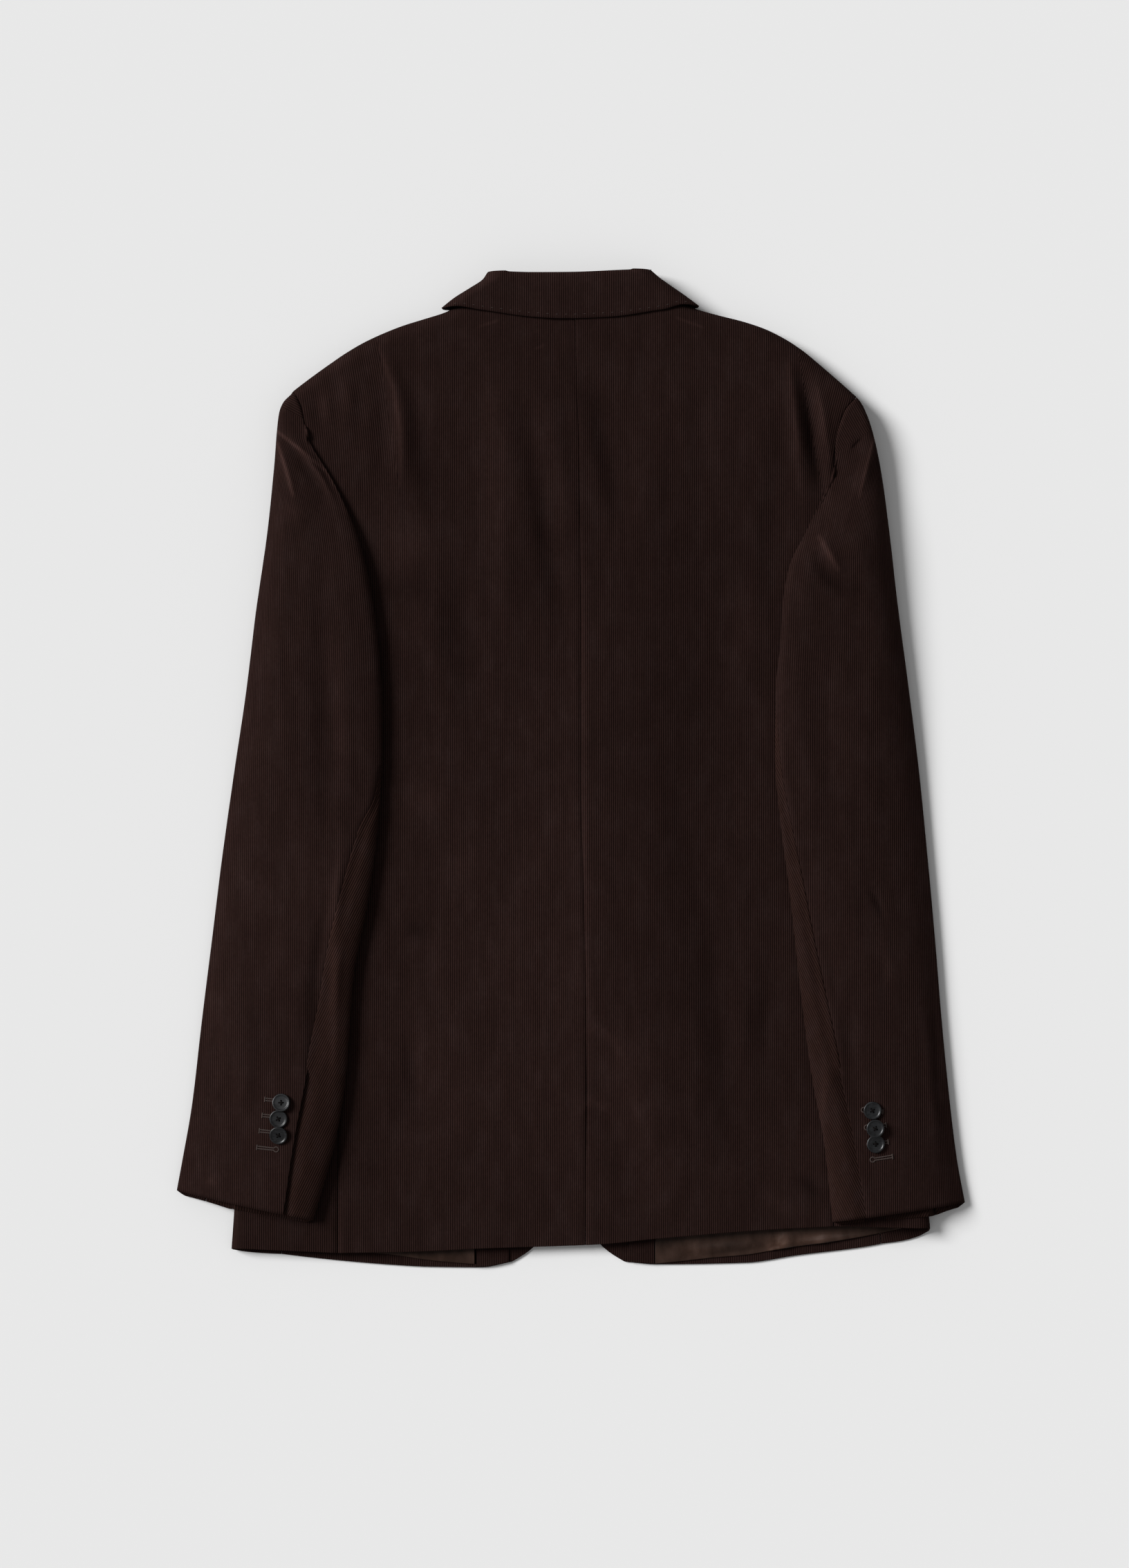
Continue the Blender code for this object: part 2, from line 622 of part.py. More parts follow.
def armhole_ring(side, shares):
    """The armhole seam as the sleeve meets it, at the same shares of the ring as the sections' keys."""
    out = OUT[side]
    back = np.asarray(ARMHOLE_BACK[side], float)
    fold = np.asarray(FOLD_START[side], float)
    seen = [p for p in back if p[1] > fold[1] + 1]
    hidden = [p for p in back if p[1] < fold[1] - 1]
    edge = fair(BODY["y"], BODY[side + "_edge"], ARMPIT)
    keys = np.array([shares[EDGE_KEY], shares[FOLD_KEY], shares[BODY_KEY], 1.0])
    ring = np.linspace(0, 1, RING_POINTS, endpoint=False)
    upper = along([*seen, fold], (ring - keys[0]) / (keys[1] - keys[0]))
    side_top = (mix(back[-1][0], edge, 0.6), mix(SEAM_TOP, ARMPIT, 0.65))
    armpit = (edge + out * 2.5, ARMPIT)
    lower = along([fold, *hidden, side_top, armpit], (ring - keys[1]) / (keys[2] - keys[1]))
    front = np.asarray(ARMHOLE_FRONT[side], float)[::-1]
    bottom = along([armpit, *front], (ring - keys[2]) / (keys[3] - keys[2]))
    on_lower = (ring > keys[1]) & (ring <= keys[2])
    on_bottom = ring > keys[2]
    flat = np.where(on_lower[:, None], lower, np.where(on_bottom[:, None], bottom, upper))
    x = flat[:, 0]
    y = flat[:, 1]
    top = back_height(x, y)
    lost = turned(distance_to(SHOULDER[side], x, y)[0], SHOULDER_ROUND)
    raised = LAYER_GAP + 0.3
    from_edge = np.abs(x - edge) / SIDE_ROUND
    z_lower = mix(0.5 * top, top + raised, ease(from_edge))
    z_bottom = 0.5 * top * np.maximum(lost, (1 - ease(from_edge)) * (y < ARMPIT + 20))
    z_upper = top * (1 - 0.5 * lost) + raised * ease(1 + (ring - keys[1]) / 0.02)
    z = np.where(on_lower, z_lower, np.where(on_bottom, z_bottom, z_upper))
    flat[:, 0] += out * np.where(on_lower, 0, np.where(on_bottom, 1.0, 2 * SEAM_GAP))
    flat[:, 1] += np.where(on_bottom & (y < ARMPIT + 30), 2 * SEAM_GAP, 0)
    return with_z(flat, z)


def clear_of_body(side, rings, keys):
    """Holds the sleeve off the side panel and the back on which it is laid."""
    out = OUT[side]
    x, y, z = np.moveaxis(rings, -1, 0)
    ring_share = np.arange(RING_POINTS) / RING_POINTS
    lower = (ring_share > keys[:, FOLD_KEY, None]) & (ring_share <= keys[:, BODY_KEY, None])
    bottom = ring_share > keys[:, BODY_KEY, None]
    edge = fair(BODY["y"], BODY[side + "_edge"], y)
    beyond = out * (x - edge)
    least = np.interp(y, (ARMPIT + 2, UNDERARM_FRONT + 2, UNDERARM_FRONT + 4), (1.6, -19.5, -60))
    x = np.where(bottom, edge + out * np.maximum(beyond, least), x)
    turn = np.clip((beyond + SIDE_ROUND) / (SIDE_ROUND + 0.9), 0, 1)
    profile = 0.5 * back_height(x, y) * (1 + np.sqrt(1 - turn**2)) + 0.7
    panel_top = np.interp(beyond, (-30, -SIDE_ROUND, -1.7), (SEAM_TOP, ARMPIT + 4, ARMPIT - 4))
    hold = ease((panel_top + 6 - y) / 4.5) * (beyond < 0.9)
    z = np.where(lower, np.maximum(z, mix(z, profile, hold)), z)
    upper = ring_share <= keys[:, FOLD_KEY, None]
    line = np.array(ARMHOLE_BACK[side], float)[::-1]
    over_back = 1.5 - out * (x - np.interp(y, line[:, 1], line[:, 0]))
    lifted = ease(over_back / 1.5) * ease((FOLD_START[side][1] + 12 - y) / 8)
    least_z = back_height(x, y) + WALL + 0.8
    z = np.where(upper, np.maximum(z, mix(z, least_z, lifted)), z)
    return np.stack([x, y, z], axis=-1)


def sleeve_surface(side):
    """Rings of points from cuff to armhole, their outward normals and the shares of their key points."""
    rings = []
    keys = []
    for share in SLEEVE_ROWS:
        ring, key_shares = closed_curve(sleeve_section(side, share), RING_POINTS)
        rings.append(ring)
        keys.append(key_shares)
    seam = armhole_ring(side, keys[-1])
    miss = seam - rings[-1]
    ring_share = np.arange(RING_POINTS) / RING_POINTS
    place = [np.interp(ring_share, np.r_[row, 1.0], np.arange(len(row) + 1)) for row in keys]
    for row, share in enumerate(SLEEVE_ROWS):
        sunk = ease((share - 1 + HEAD_SHARE) / HEAD_SHARE) ** 1.4
        drawn = fair(*HEAD_DRAW, share)
        here = np.stack([np.interp(place[row], place[-1], miss[:, axis]) for axis in range(3)], axis=-1)
        rings[row] = rings[row] + here * (drawn, drawn, sunk)
    rings = clear_of_body(side, np.array(rings), np.array(keys))
    rings[..., 2] = np.maximum(rings[..., 2], 0.05)
    for row, key_shares in enumerate(keys):
        on_top = ease(np.minimum(ring_share / key_shares[3], (key_shares[6] - ring_share) / 0.05))
        fade = ease((1 - SLEEVE_ROWS[row]) / 0.03)
        x = rings[row, :, 0]
        y = rings[row, :, 1]
        rings[row, :, 2] += on_top * fade * folds_at(SLEEVE_FOLDS[side], x, y)
        near_fold = np.exp(-(((ring_share - key_shares[FOLD_KEY]) / 0.03) ** 2))
        rings[row, :, 2] += near_fold * fair(*FOLD_STANDS, SLEEVE_ROWS[row])
    along_ring = np.roll(rings, -2, axis=1) - np.roll(rings, 2, axis=1)
    up = np.gradient(rings, axis=0)
    up = sum(np.roll(up, shift, axis=1) for shift in range(-9, 10))
    up[-1] = up[-2]
    normal = np.cross(along_ring, up) * -OUT[side]
    normal = normal / np.linalg.norm(normal, axis=-1, keepdims=True)
    return rings, normal, np.array(keys)


def hindarm_shares(side, rings, keys):
    """Share of the ring where the hindarm seam runs, row by row."""
    shares = []
    for ring, key_shares in zip(rings, keys):
        fold = int(round(key_shares[FOLD_KEY] * RING_POINTS))
        inset = fair(HINDARM["y"], HINDARM[side], ring[fold, 1])
        if inset > 0:
            first = int(round(key_shares[2] * RING_POINTS))
            span = np.arange(first, fold + 1)
            away = np.abs(ring[span, 0] - ring[fold, 0])
            at = np.interp(inset, away[::-1], span[::-1].astype(float))
        else:
            steps = np.linalg.norm(np.diff(ring[fold : fold + 90], axis=0), axis=1)
            at = fold + np.interp(-inset, np.r_[0, np.cumsum(steps)], np.arange(90.0))
        shares.append(at / RING_POINTS)
    return np.array(shares)


def read_rings(values, shares):
    """Values round each ring at that row's shares."""
    closed = np.concatenate([values, values[:, :1]], axis=1)
    at = (shares % 1.0) * RING_POINTS
    low = np.floor(at).astype(int)
    t = (at - low)[..., None]
    rows = np.arange(len(values))[:, None]
    return mix(closed[rows, low], closed[rows, low + 1], t)


def cosine_spread(count):
    """Shares from 0 to 1, closer together towards both ends."""
    even = np.linspace(0, 1, count)
    return mix(even, 0.5 - 0.5 * np.cos(np.pi * even), 0.35)


# ---- Collar ------------------------------------------------------------------------------------------

COLLAR_TOP = table(
    "share x y",
    (0, -67.3, 413.9),
    (0.3, -28.6, 412.6),
    (0.5, 2.5, 412.9),
    (0.75, 35, 414.2),
    (1, 64.1, 415.5),
)
COLLAR_LEAF = table(
    "share x y",
    (0, -105.2, 384.1),
    (0.1, -83.7, 382.2),
    (0.35, -31.9, 375.2),
    (0.5, -4.4, 373.8),
    (0.65, 30, 375.0),
    (0.87, 80, 382.0),
    (1, 104.5, 385.6),
)
COLLAR_TURN = 9.0
COLLAR_BAY = {"left": 5.0, "right": 1.5}  # how far the end of each wing is hollowed beside the neck
COLLAR_FRONT = (  # fold edge and leaf edge under the front: away from the centre front, Y
    ((64.0, 396.0), (103.5, 372.0)),
    ((61.5, 372.0), (102.5, 354.0)),
    ((59.5, 347.0), (101.0, 337.0)),
)


def collar_across(fold, leaf, z_fold, z_leaf, up):
    """One line across the collar, from under its fold round to the leaf edge; up is 1 on top of the back."""
    t = mix(
        np.array([0.0, 0.02, 0.05, 0.2, 0.45, 0.72, 1.0]),
        np.array([0.07, 0.012, 0.05, 0.2, 0.45, 0.72, 1.0]),
        up,
    )
    flat = mix(np.asarray(fold)[None], np.asarray(leaf)[None], t[:, None])
    lifts = np.array([-4.6, -2.4, 0.0, 0.6, 0.3, 0.0, 0.0])
    return with_z(flat, mix(z_fold, z_leaf, t) + up * lifts)


def collar_grid():
    """Outer face of the collar leaf: left front end, round the neck, across the back, right front end."""
    lines = []
    shares = np.r_[0, 0.06, np.linspace(0.13, 0.87, 12), 0.94, 1]
    fold_x = fair(COLLAR_TOP["share"], COLLAR_TOP["x"], shares)
    fold_y = fair(COLLAR_TOP["share"], COLLAR_TOP["y"], shares)
    leaf_x = fair(COLLAR_LEAF["share"], COLLAR_LEAF["x"], shares)
    leaf_y = fair(COLLAR_LEAF["share"], COLLAR_LEAF["y"], shares)
    pairs = list(zip(np.stack([fold_x, fold_y], -1), np.stack([leaf_x, leaf_y], -1)))

    def over_back(fold, leaf, up=1.0):
        z_leaf = back_height(leaf[0], leaf[1], folded=False) + LAYER_GAP + WALL + 0.3
        return collar_across(fold, leaf, z_leaf + 3.4, z_leaf, up)

    for side in ("left", "right"):
        pair = pairs[0] if side == "left" else pairs[-1]
        edge = pair[1] - pair[0]
        slant = np.linalg.norm(edge) / abs(edge[1])
        turn = []
        for angle in np.radians((0, 28, 60, 90, 120, 152, 180)):
            line = over_back(*pair, max(math.cos(angle), 0.0))
            from_neck = np.linalg.norm(line[:, :2] - pair[0], axis=1) / np.linalg.norm(edge)
            hollow = COLLAR_BAY[side] * np.exp(-(((from_neck - 0.28) / 0.22) ** 2))
            line[:, 0] += OUT[side] * ((COLLAR_TURN * (math.sin(angle) - 1) + 1.5) * slant - hollow)
            line[:, 2] *= 0.5 + 0.5 * math.cos(angle)
            turn.append(line)
        under = []
        for fold, leaf in COLLAR_FRONT:
            ends = [np.array((CENTRE_FRONT + OUT[side] * a, y)) for a, y in (fold, leaf)]
            under.append(collar_across(ends[0], ends[1], 0.0, 0.0, 0.0))
        lines.append(turn + under)
    return np.array(lines[0][::-1] + [over_back(*pair) for pair in pairs[2:-2]] + lines[1])


# ---- Meshes ------------------------------------------------------------------------------------------


def finish_of(name, colour, roughness):
    """One plain Principled finish for one piece."""
    material = bpy.data.materials.new(name)
    material.use_nodes = True
    shader = material.node_tree.nodes["Principled BSDF"]
    shader.inputs["Base Color"].default_value = (*colour, 1)
    shader.inputs["Roughness"].default_value = roughness
    shader.inputs["Metallic"].default_value = 0
    return material


def add_object(name, mesh, colour, roughness):
    """Puts a finished bmesh in the scene as a named piece."""
    data = bpy.data.meshes.new(name)
    bmesh.ops.recalc_face_normals(mesh, faces=mesh.faces[:])
    mesh.to_mesh(data)
    mesh.free()
    data.materials.append(finish_of(name, colour, roughness))
    data.shade_smooth()
    data.set_sharp_from_angle(angle=math.radians(40))
    piece = bpy.data.objects.new(name, data)
    jacket.objects.link(piece)
    return piece


def cloth_piece(name, outside, inside, colour=CORDUROY, roughness=0.9):
    """A closed wall of cloth between its outer and its inner grid of points."""
    rows, columns = outside.shape[:2]
    mesh = bmesh.new()
    bmesh.ops.create_grid(mesh, x_segments=columns - 1, y_segments=rows - 1, size=0.5)
    place = mesh.verts.layers.int.new("place")
    mesh.verts.ensure_lookup_table()
    for index, vertex in enumerate(mesh.verts):
        vertex[place] = index
        vertex.co = outside.reshape(-1, 3)[index] * MM
    grown = bmesh.ops.extrude_face_region(mesh, geom=mesh.faces[:], use_keep_orig=True)
    for vertex in grown["geom"]:
        if isinstance(vertex, bmesh.types.BMVert):
            vertex.co = inside.reshape(-1, 3)[vertex[place]] * MM
    return add_object(name, mesh, colour, roughness)


def walled(grid, wall, inward):
    """Inner grid of a wall; inward is 1 where the grid's own normals point into the garment."""
    return grid + normals_of(grid) * wall * inward


def add_button(name, centre, diameter, thick, tilt=(0.0, 0.0), turned_down=False):
    """A horn button: a turned disc with a rolled rim and a dished face."""
    radius = diameter / 2
    profile = (
        (0.0, 0.0),
        (0.72, 0.0),
        (1.0, 0.5),
        (0.9, 1.0),
        (0.6, 0.72),
        (0.0, 0.66),
    )
    mesh = bmesh.new()
    last = None
    for share, height in profile:
        vertex = mesh.verts.new((share * radius * MM, 0, height * thick * MM))
        if last is not None:
            mesh.edges.new((last, vertex))
        last = vertex
    bmesh.ops.spin(
        mesh,
        geom=mesh.verts[:] + mesh.edges[:],
        cent=(0, 0, 0),
        axis=(0, 0, 1),
        angle=math.tau,
        steps=16,
        use_merge=True,
    )
    bmesh.ops.remove_doubles(mesh, verts=mesh.verts[:], dist=0.01 * MM)
    piece = add_object(name, mesh, HORN, 0.35)
    piece.location = [value * MM for value in centre]
    piece.rotation_euler = (math.radians(tilt[0]) + (math.pi if turned_down else 0), math.radians(tilt[1]), 0)
    return piece


# ---- The pieces --------------------------------------------------------------------------------------


def make_body(side):
    """Back, side, front, lapel, and the facing and lining that show inside the hem."""
    half = SEAM_GAP / 2
    facing_in = -OUT[side]  # the grids of the two sides wind opposite ways
    back = part_seams(back_grid(side), first_column=half, last_column=half, last_row=SEAM_GAP)
    cloth_piece("back_" + side, back, walled(back, WALL, facing_in))
    panel = part_seams(side_grid(side), first_column=half, last_column=half)
    cloth_piece("side_" + side, panel, walled(panel, WALL, facing_in))
    front = part_seams(front_grid(side), last_column=half, last_row=SEAM_GAP)
    front_inside = walled(front, WALL, -facing_in)
    cloth_piece("front_" + side, front, front_inside)
    lapel = lapel_grid(side)
    cloth_piece("lapel_" + side, lapel, lapel + np.array((0, 0, LAPEL_WALL)))
    make_inner_layers(side)


def inner_layer_grid(side, columns, rise):
    """Points on the front's inner face near the hem: columns across it, rising from its edge."""
    front = front_grid(side)[:6]
    across = edge_shares(front[0])
    y_rows = np.array([0.0, 0.12, 0.3, 0.6, 1.0])
    lines = []
    for share, start in zip(columns, rise):
        line = np.array([[np.interp(share, across, column) for column in row.T] for row in front])
        shares = edge_shares(line[:, :2])
        length = np.linalg.norm(np.diff(line[:, :2], axis=0), axis=1).sum()
        at = mix(start / length, 0.62, y_rows)
        lines.append(np.stack([np.interp(at, shares, line[:, axis]) for axis in range(3)], axis=-1))
    return np.array(lines).transpose(1, 0, 2)


def make_inner_layers(side):
    """Facing and lining on the inner face of a front, where the hem leaves them in sight."""
    lift = WALL + LAYER_GAP
    edge = FACING_SHARE if side == "left" else 0.12
    facing_columns = np.linspace(0.02, edge, 6)
    facing = inner_layer_grid(side, facing_columns, np.full(6, 1.2))
    facing[..., 2] += lift
    top = np.array((0, 0, THIN_WALL))
    cloth_piece("facing_" + side, facing + top, facing)
    lining_columns = np.linspace(edge + 0.004, 0.96, 14)
    rise = LINING_RISE[side]
    lining = inner_layer_grid(side, lining_columns, fair(rise["share"], rise["height"], lining_columns))
    lining[..., 2] += lift
    cloth_piece("lining_" + side, lining + top, lining, SATIN, 0.4)


def make_sleeve(side):
    """Topsleeve and undersleeve, and the three buttons of the cuff."""
    rings, normals, keys = sleeve_surface(side)
    hindarm = hindarm_shares(side, rings, keys)[:, None]
    forearm = keys[:, FOREARM_KEY][:, None]
    past = ease((SLEEVE_ROWS[:, None] - UNDERSLEEVE_TOP) / 0.1)
    below_arm = mix(forearm, keys[:, BODY_KEY][:, None], 0.7 * past)
    corner = keys[:, CORNER_KEY][:, None]
    body = keys[:, BODY_KEY][:, None]
    top_shares = mix(below_arm - 1, hindarm, cosine_spread(16)[None, :])
    under_shares = [mix(hindarm, corner, np.linspace(0, 1, 8)[None, :])]
    under_shares += [0.5 * (corner + body), mix(body, forearm, np.linspace(0, 1, 4)[None, :])]
    under_shares = np.concatenate(under_shares, axis=1)
    whole = len(SLEEVE_ROWS)
    hidden = int(np.sum(SLEEVE_ROWS <= UNDERSLEEVE_TOP))
    for name, shares, rows in (("topsleeve_", top_shares, whole), ("undersleeve_", under_shares, hidden)):
        points = read_rings(rings, shares)[:rows]
        outside = part_seams(points, first_column=SEAM_GAP, last_column=SEAM_GAP)
        steady = np.where(SLEEVE_ROWS[:, None] > 0.95, np.minimum(shares, keys[:, [TOP_KEY]]), shares)
        inside = outside - read_rings(normals, steady)[:rows] * WALL
        cloth_piece(name + side, outside, inside)
    make_cuff_buttons(side, rings)


def make_cuff_buttons(side, rings):
    points = rings.reshape(-1, 3)
    for number, (x, y, lift, tilt) in enumerate(CUFF_BUTTONS[side], 1):
        near = points[(np.abs(points[:, 0] - x) < 14) & (np.abs(points[:, 1] - y) < 45)]
        near = near[near[:, 2] > near[:, 2].max() - 8] - (x, y, 0)
        plane = np.c_[near[:, :2], np.ones(len(near))]
        slope_x, slope_y, height = np.linalg.lstsq(plane, near[:, 2], rcond=None)[0]
        over = (near[:, 2] - plane @ (slope_x, slope_y, height))[np.hypot(*near[:, :2].T) < 12].max(initial=0)
        tilts = (tilt + math.degrees(math.atan(slope_y)), -math.degrees(math.atan(slope_x)))
        centre = (x, y, height + max(over, 0) + lift)
        add_button(f"cuff_button_{side}_{number}", centre, CUFF_BUTTON, BUTTON_THICK, tilts)


def make_collar():
    """Collar leaf, which turns round the neck to both fronts, and the stand under it."""
    leaf = collar_grid()
    cloth_piece("collar_leaf", leaf, walled(leaf, WALL, -1))
    shares = np.linspace(0.06, 0.94, 14)
    fold_x = fair(COLLAR_TOP["share"], COLLAR_TOP["x"], shares)
    seam_x = mix(SHOULDER["left"][0][0] + 6, SHOULDER["right"][0][0] - 6, shares)
    lines = []
    for t in np.linspace(0, 1, 4):
        x = mix(seam_x, fold_x, t)
        y = mix(NECK_DIP + 1.0 + LAYER_GAP, 408.0, t)
        z = back_height(x, np.full_like(x, 380.0), folded=False) + 0.5 * t
        lines.append(np.stack([x, np.full_like(x, y), z], axis=-1))
    stand = np.array(lines)
    cloth_piece("collar_stand", stand, stand - np.array((0, 0, WALL)))


def make_front_buttons():
    for number, (away, y) in enumerate(FRONT_BUTTONS, 1):
        centre = (CENTRE_FRONT + away, y, 2.3)
        add_button(f"front_button_{number}", centre, FRONT_BUTTON, 2.3, turned_down=True)


for old in list(bpy.data.objects):
    bpy.data.objects.remove(old)
jacket = bpy.data.collections.new("corduroy_jacket")
bpy.context.scene.collection.children.link(jacket)

for which in ("left", "right"):
    make_body(which)
    make_sleeve(which)
make_collar()
make_front_buttons()
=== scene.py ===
"""Looks of a corduroy jacket that lies face down with both sleeves turned over its back.

The jacket is put together in the order in which it lies: back, sides, fronts and what they hold, sleeves
with their cuffs, collar. Tables are in millimetres; meshes are in metres.
"""

import math

import bmesh
import bpy
import numpy as np
from mathutils import Matrix, Vector


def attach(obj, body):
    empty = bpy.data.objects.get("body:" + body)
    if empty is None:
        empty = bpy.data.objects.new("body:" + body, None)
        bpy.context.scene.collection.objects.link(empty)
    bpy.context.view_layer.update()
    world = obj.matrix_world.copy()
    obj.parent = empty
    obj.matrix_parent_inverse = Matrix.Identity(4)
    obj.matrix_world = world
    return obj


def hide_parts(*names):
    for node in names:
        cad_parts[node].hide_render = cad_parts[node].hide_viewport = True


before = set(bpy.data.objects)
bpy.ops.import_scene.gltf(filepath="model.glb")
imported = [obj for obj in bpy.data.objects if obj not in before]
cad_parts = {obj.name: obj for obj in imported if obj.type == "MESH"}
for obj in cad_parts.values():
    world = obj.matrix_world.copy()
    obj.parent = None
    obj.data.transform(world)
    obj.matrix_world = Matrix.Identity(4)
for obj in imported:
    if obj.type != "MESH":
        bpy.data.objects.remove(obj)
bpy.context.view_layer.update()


# ==== The back ====
# Two panels of fine corduroy joined down the middle, laid face up over the fronts, chest and pads. The
# turned sleeves press a trough and a ridge into the cloth beside each armhole.

MM = 0.001
WALL = 1.6
SEAM_GAP = 0.3
LAYER_GAP = 0.4
OUT = {"left": -1.0, "right": 1.0}


def table(names, *rows):
    """Named columns of millimetres from rows."""
    return dict(zip(names.split(), np.array(rows, float).T))


def fair(stations, values, at):
    """Monotone cubic through a table's rows, held level beyond its ends."""
    x = np.asarray(stations, float)
    y = np.asarray(values, float)
    step = np.diff(x).reshape(-1, *[1] * (y.ndim - 1))
    slope = np.diff(y, axis=0) / step
    tangent = np.empty_like(y)
    tangent[0] = slope[0]
    tangent[-1] = slope[-1]
    before = 2 * step[1:] + step[:-1]
    after = step[1:] + 2 * step[:-1]
    same_way = slope[:-1] * slope[1:] > 0
    blend = before / np.where(same_way, slope[:-1], 1) + after / np.where(same_way, slope[1:], 1)
    tangent[1:-1] = np.where(same_way, (before + after) / np.where(same_way, blend, 1), 0)
    at = np.clip(np.asarray(at, float), x[0], x[-1])
    k = np.clip(np.searchsorted(x, at, side="right") - 1, 0, len(x) - 2)
    t = np.reshape((at - x[k]) / np.diff(x)[k], (*at.shape, *[1] * (y.ndim - 1)))
    rise = step[k] * (tangent[k] * t * (1 - t) ** 2 - tangent[k + 1] * t**2 * (1 - t))
    return y[k] + (y[k + 1] - y[k]) * t * t * (3 - 2 * t) + rise


def read(rows, name, at):
    """One column of a table at places along its first column."""
    return fair(next(iter(rows.values())), rows[name], at)


def ease(t):
    """0 to 1 with level ends."""
    t = np.clip(t, 0, 1)
    return t * t * (3 - 2 * t)


def mix(a, b, t):
    return a + (b - a) * t


def bell(t):
    """1 at zero, fading softly on both sides."""
    return np.exp(-(t**2))


def joined(*axes):
    """Points from arrays of their coordinates."""
    return np.stack(axes, axis=-1)


def apart(a, b):
    """Distance between points."""
    return np.linalg.norm(a - b, axis=-1)


def passed(points):
    """Length passed at each point of a line."""
    return np.r_[0, np.cumsum(np.linalg.norm(np.diff(points, axis=0), axis=1))]


def along(points, shares):
    """Points at shares of the length of a fair line through the given points."""
    points = np.asarray(points, float)
    length = passed(points)
    return joined(*(fair(length, column, np.asarray(shares) * length[-1]) for column in points.T))


def distance_to(line, x, y):
    """Distance from points to a line of straight runs, and the share of its length where each is nearest."""
    line = np.asarray(line, float)
    runs = np.diff(line, axis=0)
    lengths = np.linalg.norm(runs, axis=1)
    gone = np.r_[0, np.cumsum(lengths)]
    best = np.full(np.shape(x), np.inf)
    share = np.zeros(np.shape(x))
    for start, run, length, before in zip(line, runs, lengths, gone):
        t = ((x - start[0]) * run[0] + (y - start[1]) * run[1]) / length**2
        t = np.clip(t, 0, 1)
        away = np.hypot(x - start[0] - t * run[0], y - start[1] - t * run[1])
        nearer = away < best
        best = np.where(nearer, away, best)
        share = np.where(nearer, (before + t * length) / gone[-1], share)
    return best, share


BACK_RISE = table(
    "y height", (-405, 10.0), (-300, 10.6), (-100, 12.0), (100, 15.0), (250, 19.0), (330, 21.5), (420, 22.0),
)
HEM_LIFT = 5.0  # the right corner of the hem stands up
HEM_LIFT_AT = (300, -385)
HEM_LIFT_REACH = (70, 60)

BACK_FOLDS = (  # height, half width, then the line that each follows
    (-7.0, 5.5, ((189, 340), (193, 322), (196.5, 302), (200.5, 272), (206, 245), (211, 222))),
    (3.2, 6, ((203, 322), (207.6, 299), (212, 262), (214.6, 240))),
    (1.8, 6, ((178, 345), (182, 320), (186, 280), (192, 235), (196, 205))),
    (2.6, 6, ((-157, 352), (-148, 325), (-142, 300), (-140, 260), (-141, 225))),
    (-3.2, 9, ((-134, 330), (-126, 300), (-122, 262), (-120, 226))),
    (-2.0, 8, ((-166, 335), (-158, 310), (-156, 262), (-160, 232))),
    (1.3, 5, ((-190, 330), (-187, 312), (-184, 290), (-184, 262))),
    (-1.6, 5, ((-178, 325), (-174, 308), (-172, 288))), (1.2, 4, ((-204, 318), (-203, 300), (-200, 285))),
    (-1.5, 4, ((-212, 310), (-209, 294), (-206, 278))),
    (2.4, 13, ((-64, 345), (-60, 300), (-58, 230), (-54, 150), (-46, 80))),
    (-2.6, 10, ((-42, 325), (-36, 280), (-31, 250), (-23, 200), (-13, 140), (-5, 80))),
    (1.8, 9, ((-20, 315), (-13, 270), (-4, 222), (2, 180))),
    (-2.4, 9, ((4, 340), (12, 318), (21, 298), (28, 262), (37, 225), (48, 190))),
    (1.4, 12, ((60, 310), (66, 250), (62, 190))), (-1.6, 12, ((104, 310), (110, 250), (104, 190))),
    (-1.8, 12, ((-98, 190), (-95, 130), (-86, 85), (-76, 40))),
    (1.6, 12, ((-118, 150), (-112, 100), (-100, 50))),
    (-1.4, 14, ((96, 60), (92, 0), (98, -70), (104, -120))), (1.5, 16, ((140, 170), (148, 110), (142, 40))),
    (-1.8, 14, ((112, -110), (116, -180), (126, -260), (134, -340))),
    (1.4, 12, ((142, -170), (144, -230), (150, -290))), (-1.5, 10, ((160, -150), (163, -195), (160, -240))),
    (-1.6, 6, ((-137, -212), (-133, -250), (-129, -292))),
    (1.2, 12, ((-158, -225), (-158, -262), (-150, -300))),
    (1.0, 4, ((8, -224), (22, -215), (38, -226), (50, -252))),
    (1.3, 4, ((4, -287), (18, -277), (32, -283), (42, -292))),
    (1.6, 18, ((40, -240), (60, -290), (80, -345), (90, -384))),
    (-1.6, 7, ((186, -336), (200, -348), (214, -360), (228, -366))),
    (1.3, 6, ((160, -352), (180, -364), (200, -374))), (-1.0, 10, ((-140, -128), (-118, -136), (-100, -140))),
    (1.2, 18, ((-140, -24), (-118, -30), (-96, -34))),
)
